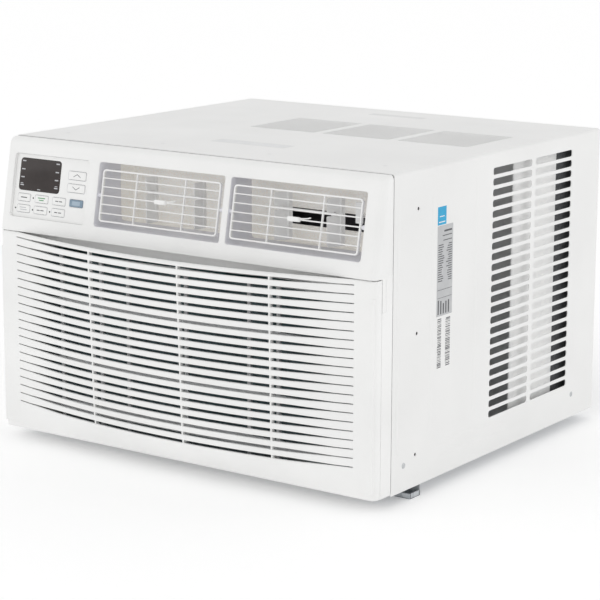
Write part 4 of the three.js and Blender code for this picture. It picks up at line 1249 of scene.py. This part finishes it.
sheets.append(perforated(
    "top", [[(-top_half, FRONT_EDGE), (top_half, FRONT_EDGE), (top_half, CABINET_DEPTH),
    (-top_half, CABINET_DEPTH)]], {
        "Columns": 3, "Rows": TOP_ROWS, "Column Pitch": (TOP_VENTS[1] / 1000, 0, 0),
        "Row Pitch": (0, TOP_PITCH / 1000, 0),
        "First Slot": (TOP_VENTS[0] / 1000, TOP_FIRST / 1000, 0), "Slot Width": TOP_VENTS[2] / 1000,
        "Slot Height": TOP_OPEN / 1000, "Slot Corner": 0.001},
    lambda u, v: (u, v, CABINET_HEIGHT)))
bend_lines = []
for sign in (-1, 1):
    strip = []
    for i in range(7):
        a = math.radians(90 * i / 6)
        strip.append((sign * (top_half + BEND * math.cos(a)), side_high + BEND * math.sin(a)))
    bend_lines.append(strip)
    points = [(x, y, z) for y in (FRONT_EDGE, CABINET_DEPTH) for x, z in strip]
    sheets.append(shape("bend", [(points, [[i, i + 1, i + 8, i + 7] for i in range(6)])], powder_coat))
rim = [(CABINET_HALF, 0)] + bend_lines[1] + bend_lines[0][::-1] + [(-CABINET_HALF, 0)]
RIM_SIDE, RIM_TOP = 316.0, 424.0
rim += [(-RIM_SIDE, 0), (-RIM_SIDE, RIM_TOP - 4), (-RIM_SIDE + 4, RIM_TOP), (RIM_SIDE - 4, RIM_TOP),
    (RIM_SIDE, RIM_TOP - 4),
        (RIM_SIDE, 0)]
flat = [[Vector((x, z, 0)) for x, z in rim]]
rim_points = [(x, CABINET_DEPTH, z) for x, z in rim]
sheets.append(shape("rear_rim", [(rim_points, [list(t) for t in tessellate_polygon(flat)])], powder_coat))
cabinet = merge("cabinet_sheet", sheets)
settle(cabinet.data, 30)
top_face = max(cabinet.data.polygons, key=lambda p: p.center.z)
if top_face.normal.z < 0:
    cabinet.data.flip_normals()
add_thickness(cabinet, SHEET)
with_modifiers(cabinet, 30)
print("cabinet faces:", len(cabinet.data.polygons))

# %% [markdown]
# ## Pressed ridges, screws and labels
# Shallow ridges stiffen the big side sheets. Each is a low rounded bar along a path, half a
# millimetre proud. Screw heads are small turned pieces with a round recess, copied to their places. The
# labels carry no words: a plain blue square, a grey plate with ruled lines, and two strips of bars
# from a fixed random seed.

# %% Ridges, screws, labels
PROUD = 0.35


def ridge(path, sign, width=8.0):
    """A low pressed ridge on a side sheet along a path of (y, z)."""
    rings = []
    for i, (y, z) in enumerate(path):
        before = Vector(path[max(0, i - 1)])
        after = Vector(path[min(len(path) - 1, i + 1)])
        along = (after - before).normalized()
        across = Vector((-along.y, along.x))
        ring = []
        for share, rise in ((-1.1, -0.6), (-1, -0.2), (-0.55, 0.7), (0, 1.0), (0.55, 0.7), (1, -0.2),
                (1.1, -0.6)):
            spot = Vector((y, z)) + across * share * width / 2
            end = -0.4 if i in (0, len(path) - 1) else 1.0
            ring.append((sign * (CABINET_HALF + PROUD * rise * (end if rise > 0 else 1.0)), spot.x, spot.y))
        rings.append(ring)
    return loft(rings)


def eased(path, step=12.0):
    """Cuts a path into short pieces so that its ends can fade out."""
    fine = []
    for (y0, z0), (y1, z1) in zip(path, path[1:]):
        count = max(1, int(math.hypot(y1 - y0, z1 - z0) / step))
        fine += [(y0 + (y1 - y0) * i / count, z0 + (z1 - z0) * i / count) for i in range(count)]
    return fine + [path[-1]]


RIDGES = [
    [(12, 402), (12, 64), (16, 57), (26, 54)],
    [(98, 396), (97, 92), (94, 76), (86, 68)],
    [(212, 410), (211, 92), (209, 78), (203, 70)],
    [(110, 48), (262, 44), (318, 38)],
    [(120, 32), (305, 26)],
]
ridge_parts = [ridge(eased(path), sign) for sign in (-1, 1) for path in RIDGES]
ridges = shape("pressed_ridges", ridge_parts, powder_coat, 60)


def screw(head_r, sunk=False):
    """A pan head with a round recess, pointing along +t from its seat; a sunk one stays below it."""
    dome = [(0, -1.2), (head_r, -1.2), (head_r, 0.15), (head_r * 0.94, 0.34), (head_r * 0.7, 0.5),
            (1.5, 0.56), (1.3, 0.1), (0, 0.1)]
    return [(r, min(t, 0.0) if t > 0.3 else t - 0.5) for r, t in dome] if sunk else dome


fixings = []
for sign in (-1, 1):
    for y, z in ((31, 36), (504, 35.5)):
        fixings.append(turned(facing(screw(4.2), sign), (sign * CABINET_HALF, y, z), "x", 20))
for x, y in ((-98, 53.5), (89, 55.5), (278, 57), (-280, 57)):
    fixings.append(turned(screw(2.6, True), (x, y, CABINET_HEIGHT), "z", 20))
for x in (-323, 323):
    for z in (60, 220, 380):
        fixings.append(turned(screw(3.0, True), (x, CABINET_DEPTH, z), "y", 20))
screws = shape("cabinet_screws", fixings, plated_screw)
WELL = [(2.7, -1.3), (2.7, -4.0), (0, -4.0), (0, -3.4), (2.52, -3.4), (2.52, -1.3)]
linings = []
for sign in (-1, 1):
    for y, z in SASH_HOLES:
        linings.append(turned(facing(WELL, sign), (sign * CABINET_HALF, y, z), "x", 16))
hole_linings = shape("sash_hole_linings", linings, dark_hole)

STICKER = 0.1                             # how far a label stands proud


def sticker(name, y0, y1, z0, z1, material, r=0.8):
    outline = rounded(y0, y1, z0, z1, r, 3)
    return shape(name, [plate(outline, CABINET_HALF - 0.05, CABINET_HALF + STICKER, upright_yz)], material)


PRINT_UP = 0.11


def side_marks(name, bars, material):
    parts = [plate([(a, c), (b, c), (b, d), (a, d)], CABINET_HALF + PRINT_UP - 0.05,
        CABINET_HALF + PRINT_UP + 0.03,
                   upright_yz) for a, b, c, d in bars]
    return shape(name, parts, material)


random.seed(7)
blue = sticker("blue_square", 109, 131, 352, 377, blue_film)
blue_marks = side_marks("blue_square_band", [(112, 128, 355.2, 356.6), (114, 126, 363.0, 364.2)], white_ink)
plate_part = sticker("rating_plate", 109, 149, 226, 351, grey_film)
ruled = [(110.5, 147.5, 262.0, 262.7), (110.5, 147.5, 251.0, 251.6), (122, 146, 336, 337.2),
    (124, 146, 329.5, 330.7),
         (126, 146, 341.5, 344.0)]
for i in range(17):
    z = 274 + i * 3.1
    for a, b in ((111.5, 111.5 + random.uniform(9, 16)), (146.5 - random.uniform(8, 15), 146.5)):
        ruled.append((a, b, z, z + 1.3))
for i in range(5):
    ruled.append((112 + 6.6 * i, 115 + 6.6 * i, 228.5, 249.0 - random.uniform(0, 9)))
plate_marks = side_marks("rating_plate_rules", ruled, dark_ink)
strips = []
for a, b in ((112, 122), (133, 145)):
    z = 154.0
    while z < 222.0:
        bar = random.choice((0.5, 0.9, 1.4))
        strips.append((a + random.choice((0, 0, 1.2)), b, z, z + bar))
        z += bar + random.choice((0.5, 0.8, 1.3))
strip_back = sticker("bar_strips", 110, 149, 152, 224, powder_coat, 0.6)
strip_marks = side_marks("bar_strip_bars", strips, dark_ink)


def top_film(name, x0, x1, y0, y1, material):
    return shape(name, [plate(rounded(x0, x1, y0, y1, 2), CABINET_HEIGHT - 0.1, CABINET_HEIGHT + 0.06,
                              level_xy)], material)


top_label = top_film("top_label", -58, 72, 112, 142, pale_film)
top_lines = [plate([(-54, 115 + 3 * i), (68, 115 + 3 * i), (68, 116 + 3 * i), (-54, 116 + 3 * i)],
    CABINET_HEIGHT,
                   CABINET_HEIGHT + 0.1, level_xy) for i in range(9)]
top_rules = shape("top_label_rules", top_lines, white_ink)
rear_label = top_film("rear_label", -46, 54, 505, 522, pale_film)
whole_cabinet = merge("cabinet_folded", [cabinet, ridges, screws, hole_linings, blue, blue_marks, plate_part,
    plate_marks,
                                         strip_back, strip_marks, top_label, top_rules, rear_label])
finish(whole_cabinet, "chassis", ["cabinet_shell"])
print("cabinet with its fittings, faces:", len(whole_cabinet.data.polygons))

# %% [markdown]
# ## Sill channel, grommets and round parts
# Round parts of the frame are coarse on purpose, for the physics. Each is turned again here with
# more steps and small edge radii, about the same axis and inside the same size.

# %% Sill channel
channel = []
channel.append(plate(rounded(-CABINET_HALF, CABINET_HALF, 49, 74, 1.5, 3), -16, -14.8, level_xy))
channel.append(block(-CABINET_HALF, CABINET_HALF, 49, 50.4, -16, -8.2, 0.6))
channel.append(block(-CABINET_HALF, CABINET_HALF, 72.6, 74, -16, -0.1, 0.6))
for sign in (-1, 1):
    channel.append(block(*sorted((sign * CABINET_HALF, sign * (CABINET_HALF - 1.4))), 49.2, 73.8, -16, -8.2,
        0.6))
sill = shape("sill_channel_folded", channel, galvanised)
finish(sill, "chassis", ["sill_channel"])

# %% Motor, shaft, compressor, tubes' fittings
AXIS_X, AXIS_Z = 60.0, 200.0
axis = (AXIS_X, 0, AXIS_Z)
motor_profile = [(6.6, 180), (19, 180), (20, 181), (21, 189), (23, 190.4), (46, 190.4), (52, 192.5),
    (59, 197), (61, 200),
                 (61.6, 203), (61.6, 224), (60.4, 225), (60.4, 227), (61.6, 228), (61.6, 248), (60.4, 249),
                 (60.4, 251),
                 (61.6, 252), (61.6, 273), (61, 276), (59, 279), (52, 283.5), (46, 285.6), (23, 285.6),
                 (21, 287),
                 (20, 295), (19, 296), (6.6, 296)]
vents = [plate(rounded(34, 44, -3, 3, 2.6), 189.8, 190.2, lambda u, v, d: (AXIS_X + u, d, AXIS_Z + v))]
motor_body = shape("fan_motor_can", [turned(motor_profile, axis, "y", 64)], black_enamel)
motor_vents = repeated("fan_motor_vents", vents, dark_hole, ring_tree, {
    "Count": 12, "Centre": at(AXIS_X, 0, AXIS_Z)})
motor = merge("fan_motor_turned", [motor_body, motor_vents])
finish(motor, "chassis", ["fan_motor"])

shaft = shape("fan_shaft_turned", [turned([(0, 96), (5.2, 96), (5.9, 97), (5.9, 445), (5.2, 446), (0, 446)],
    axis, "y", 32)],
              mill_aluminium)
finish(shaft, "rotor", ["fan_shaft"])

ring_profile = [(98.5, 61), (98.7, 58.4), (100, 57.2), (111, 57.0), (112, 57.6), (112, 65.4), (108, 65.4),
    (103, 63.2),
                (99.2, 62.0)]
orifice = shape("inlet_ring_turned", [turned(ring_profile, axis, "y", 72)], black_pp)
finish(orifice, "chassis", ["orifice_ring"])

capacitor_profile = [(0, 40), (20, 40), (21.6, 41), (22, 43), (22, 117), (21, 118.6), (19.6, 119),
    (19.6, 120), (0, 120)]
capacitor = shape("capacitor_can", [turned(capacitor_profile, (-280, 0, 345), "y", 40)], mill_aluminium)
finish(capacitor, "chassis", ["run_capacitor"])

COMPRESSOR = (-210.0, 282.0)
can = [(0, 32), (36, 32), (52, 35), (60, 42), (63.4, 52), (64, 60), (64, 138), (62.4, 139), (62.4, 141),
    (64, 142), (64, 226),
       (62.6, 238), (58, 248), (46, 256), (30, 260.4), (0, 262)]
compressor_parts = [turned(can, (*COMPRESSOR, 0), "z", 64)]
for i in range(3):
    a = math.radians(90 + 120 * i)
    arm = []
    for reach, half in ((30, 15), (66, 13), (78, 11), (85, 7), (87.4, 0.5)):
        for_side = []
        for way, z in ((-1, 34), (1, 34), (1, 36.6), (-1, 36.6)):
            for_side.append((COMPRESSOR[0] + reach * math.cos(a) - way * half * math.sin(a),
                             COMPRESSOR[1] + reach * math.sin(a) + way * half * math.cos(a), z))
        arm.append(for_side)
    compressor_parts.append(loft(arm))
compressor = shape("compressor_can", compressor_parts, black_enamel)
finish(compressor, "chassis", ["compressor"])
for i in range(3):
    a = math.radians(90 + 120 * i)
    foot = [(0, 4.2), (12.4, 4.2), (13, 5), (13, 12), (10, 14), (10, 18), (13, 20), (13, 32.6), (12, 33.6),
        (0, 33.6)]
    grommet = shape(f"compressor_foot_{i + 1}", [turned(
        foot, (COMPRESSOR[0] + 72 * math.cos(a), COMPRESSOR[1] + 72 * math.sin(a), 0), "z", 32)],
        moulded_rubber)
    finish(grommet, "chassis", [f"compressor_grommet_{i + 1}"])
bottle = [(0, 90), (8, 90), (14, 91), (20, 95), (23.4, 101), (24, 106), (24, 206), (23.4, 211), (20, 217),
    (14, 221),
          (8, 222), (0, 222)]
accumulator = shape("accumulator_bottle", [turned(bottle, (-105, 330, 0), "z", 40)], black_enamel)
finish(accumulator, "chassis", ["accumulator"])
bush = [(4.6, -0.4), (8.6, -0.4), (9.0, -2), (11.6, -2.2), (12, -3.0), (12, -7.0), (8.8, -8), (8.6, -13),
    (5.0, -13.4),
        (4.6, -12.8)]
cord_bush = shape("cord_bush", [turned(facing(bush, -1), (-CABINET_HALF, 40, 70), "x", 32)], moulded_rubber)
finish(cord_bush, "chassis", ["cord_grommet"])
print("turned parts:", 10)

# %% [markdown]
# ## Refrigerant tubes
# Tubes are drawn copper, bent on a mandrel: a round section along a smooth path. A curve with a
# bevel is the natural tool; it is turned to mesh before it rides on the frame.

# %% Tubes
def tube(name, path, radius, stands_for):
    data = bpy.data.curves.new(name, "CURVE")
    data.dimensions = "3D"
    data.bevel_depth = radius / 1000
    data.bevel_resolution = 5
    data.use_fill_caps = True
    data.resolution_u = 10
    spline = data.splines.new("BEZIER")
    spline.bezier_points.add(len(path) - 1)
    for point, place in zip(spline.bezier_points, path):
        point.co = at(*place)
        point.handle_left_type = point.handle_right_type = "AUTO"
    line = add_object(name, data)
    mesh = evaluated_mesh(line)
    bpy.data.objects.remove(line)
    settle(mesh)
    mesh.materials.clear()
    mesh.materials.append(drawn_copper)
    return finish(add_object(name, mesh), "chassis", [stands_for])


tube("suction_line", [(-292.5, 31, 240), (-300, 31, 240), (-307, 60, 240), (-306, 140, 240), (-306, 210, 242),
                      (-300, 300, 300), (-250, 350, 330), (-150, 345, 320), (-105, 330, 290),
                      (-105, 330, 222.5)], 6,
     "suction_tube")
tube("discharge_line", [(-190, 282, 262), (-190, 282, 300), (-220, 300, 345), (-280, 350, 375),
    (-315, 390, 385),
                        (-316, 470, 385), (-316, 530, 382), (-312, 542, 380), (-305, 542, 380)], 4.5,
                        "discharge_tube")
tube("liquid_line", [(-305, 542, 60), (-312, 542, 60), (-316, 530, 60), (-316, 470, 60), (-316, 300, 60),
    (-308, 200, 60),
                     (-306, 140, 60), (-306, 60, 60), (-300, 31, 60), (-292.5, 31, 60)], 3, "liquid_tube")
print("tubes: 3")

# %% [markdown]
# ## The two coils
# A coil is hundreds of thin fins on rows of tubes. One fin plate, copied along the coil by the tree,
# is lighter and truer than a texture. Real fins stand about 1.6 mm apart; they are drawn at 3 mm so
# that the render resolves them.

# %% Condenser air guides
# Beside the right slots a white guide sheet carries air past the shroud, and a grey foam strip seals
# its rear edge against the coil. The sheet's whiteness is painted light and the strip's dark grey is
# painted shade, both seen through the side slots. On the left the tubes need the room.
guide = plate([(334, 10), (459, 10), (459, 424), (334, 424)], 316.0, 317.2, upright_yz)
curl = block(314.6, 317.2, 332.6, 335.4, 10, 424, 1.0)
air_guide = shape("condenser_air_guide", [guide, curl], zinc_sheet_painted_light)
finish(air_guide, "chassis")
seal = shape("coil_side_seal_painted_shade", [block(306, 316.6, 458, 516, 12, 422, 3.0)], dark_foam_painted_shade)
finish(seal, "chassis")

# %% Coils
def coil(name, x0, x1, y0, y1, z0, z1, pitch, fin_paint, stands_for):
    """Fins copied along the coil, with two rows of pipes through them. A fin's edges are scalloped."""
    fin_count, depth = int((x1 - x0) / pitch), y1 - y0
    heights = [z0 + (z1 - z0) * i / 12 for i in range(13)]
    waves = [0.5 if i % 2 else 0.0 for i in range(13)]
    outline = [(y0 + wave, z) for wave, z in zip(waves, heights)]
    outline += [(y1 - wave, z) for wave, z in zip(waves[::-1], heights[::-1])]
    fins = repeated(name + "_fins", [plate(outline, x0, x0 + 0.35, upright_yz)], fin_paint, rows_tree, {
        "Count": fin_count, "Step": (pitch / 1000, 0, 0)})
    pipe = turned([(0, x0 + 0.5), (4.0, x0 + 0.5), (4.0, x1 - 0.5), (0, x1 - 0.5)],
        (0, y0 + depth / 4, z0 + 12), "x", 12)
    rows = int((z1 - z0 - 10) / 25.0)
    pipes = repeated(name + "_pipes", [pipe], drawn_copper, rows_tree, {
        "Count": rows, "Step": (0, 0, 0.025), "Rows": 2, "Row Step": (0, depth / 2000, 0)})
    whole = merge(name, [fins, pipes])
    finish(whole, "chassis", [stands_for])
    print(name, "fins:", fin_count, "faces:", len(whole.data.polygons))


coil("evaporator_fin_pack", -288, 288, 10.2, 51.8, 22, 276, 3.0, blue_fin, "evaporator_coil")
coil("condenser_fin_pack", -300, 300, 521.2, 556.8, 8, 424, 3.0, grey_fin, "condenser_coil")

# %% [markdown]
# ## Fans
# The blower wheel is a squirrel cage: forty curved blades between a back plate and a front ring. The
# condenser fan has five broad twisted blades inside a slinger ring, which throws water at the coil.
# One blade of each is drawn, and the ring tree copies it round the shaft.

# %% Blower wheel and condenser fan
WHEEL_Y0, WHEEL_Y1 = 74.0, 158.0
section = []
for i in range(7):
    a = math.radians(-12 + 60 * i / 6)
    section.append((104 + 13.4 * i / 6, 5.5 * math.sin(math.radians(180 * i / 6))))
blade_ring = [(r, h + 0.7) for r, h in section] + [(r, h - 0.7) for r, h in reversed(section)]
cage_blade = loft([[(AXIS_X + r, y, AXIS_Z + h) for r, h in blade_ring] for y in (WHEEL_Y0 + 1,
    WHEEL_Y1 - 1)])
cage = repeated("blower_blades", [cage_blade], black_pp, ring_tree,
    {"Count": 40, "Centre": at(AXIS_X, 0, AXIS_Z)})
disc = [(6.5, 155), (14, 155), (16, 124), (16.4, 124), (30, 150), (60, 155), (118, 155), (118, 157.6),
    (6.5, 157.9)]
front_ring_profile = [(108, 74), (118, 74), (118, 76.8), (108, 76.8)]
wheel_solid = shape("blower_discs", [turned(disc, axis, "y", 72), turned(front_ring_profile, axis, "y", 72)],
    black_pp)
wheel = merge("blower_cage", [cage, wheel_solid])
finish(wheel, "rotor", ["blower_wheel"])

FAN_Y, FAN_RING = 418.0, 178.0
stations = []
for k in range(9):
    t = k / 8
    pitch = math.radians(42 - 20 * t)
    chord = 30 + 26 * math.sin(math.pi * (0.25 + 0.45 * t))
    sweep = 0.16 * chord * t
    ring = []
    for u, v in ((-1, 0), (-0.9, 1.1), (-0.4, 1.9), (0.1, 1.8), (0.6, 1.2), (1, 0), (0.6, -0.6), (0.1, -0.4),
            (-0.4, -0.3),
                 (-0.9, -0.7)):
        along = u * chord + sweep
        camber = 4.0 * (1 - u * u)
        x = along * math.cos(pitch) - (v + camber) * math.sin(pitch)
        y = (along * math.sin(pitch) + (v + camber) * math.cos(pitch)) * 0.62
        ring.append((AXIS_X + x, FAN_Y + y, AXIS_Z + 27 + (FAN_RING - 30) * t))
    stations.append(ring)
blades = repeated("condenser_blades", [loft(stations)], black_pp, ring_tree,
    {"Count": 5, "Centre": at(AXIS_X, 0, AXIS_Z)})
hub = [(6.5, 400), (30, 400), (33, 401), (34, 404), (34, 434), (33, 436), (6.5, 436)]
slinger = [(174, 426.4), (177.6, 426), (178, 427), (178, 441), (177.6, 442), (174, 441.6)]
fan_solid = shape("condenser_fan_hub", [turned(hub, axis, "y", 48), turned(slinger, axis, "y", 96)], black_pp)
fan = merge("condenser_fan_moulding", [blades, fan_solid])
finish(fan, "rotor", ["condenser_fan"])
print("fan blades: 40 and 5")

# %% [markdown]
# ## Frame nodes that keep their shape
# Folded sheets, the duct, the scroll, the tray and the board are right as they stand. They keep
# their meshes and only get their materials: the scroll's dark grey is painted shade, the foam's glow
# and the shroud's near-white are painted light.

# %% Materials of the carried-over nodes
KEPT = {
    galvanised: ["control_box", "fresh_air_door", "evaporator_end_plate_left", "evaporator_end_plate_right",
    "bulkhead",
                 "motor_bracket", "condenser_end_plate_left", "condenser_end_plate_right", "base_pan"],
    zinc_sheet_painted_light: ["condenser_shroud"],
    foam_with_painted_glow: ["discharge_duct", "drain_tray"],
    foam_painted_shade_grey: ["blower_housing"],
    black_pp: ["terminal_cover"],
    board_green: ["control_board"],
    white_abs: ["fresh_air_lever"],
}
for material, names in KEPT.items():
    for name in names:
        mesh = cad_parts[name].data
        mesh.materials.clear()
        mesh.materials.append(material)
print("kept nodes:", sum(len(names) for names in KEPT.values()))
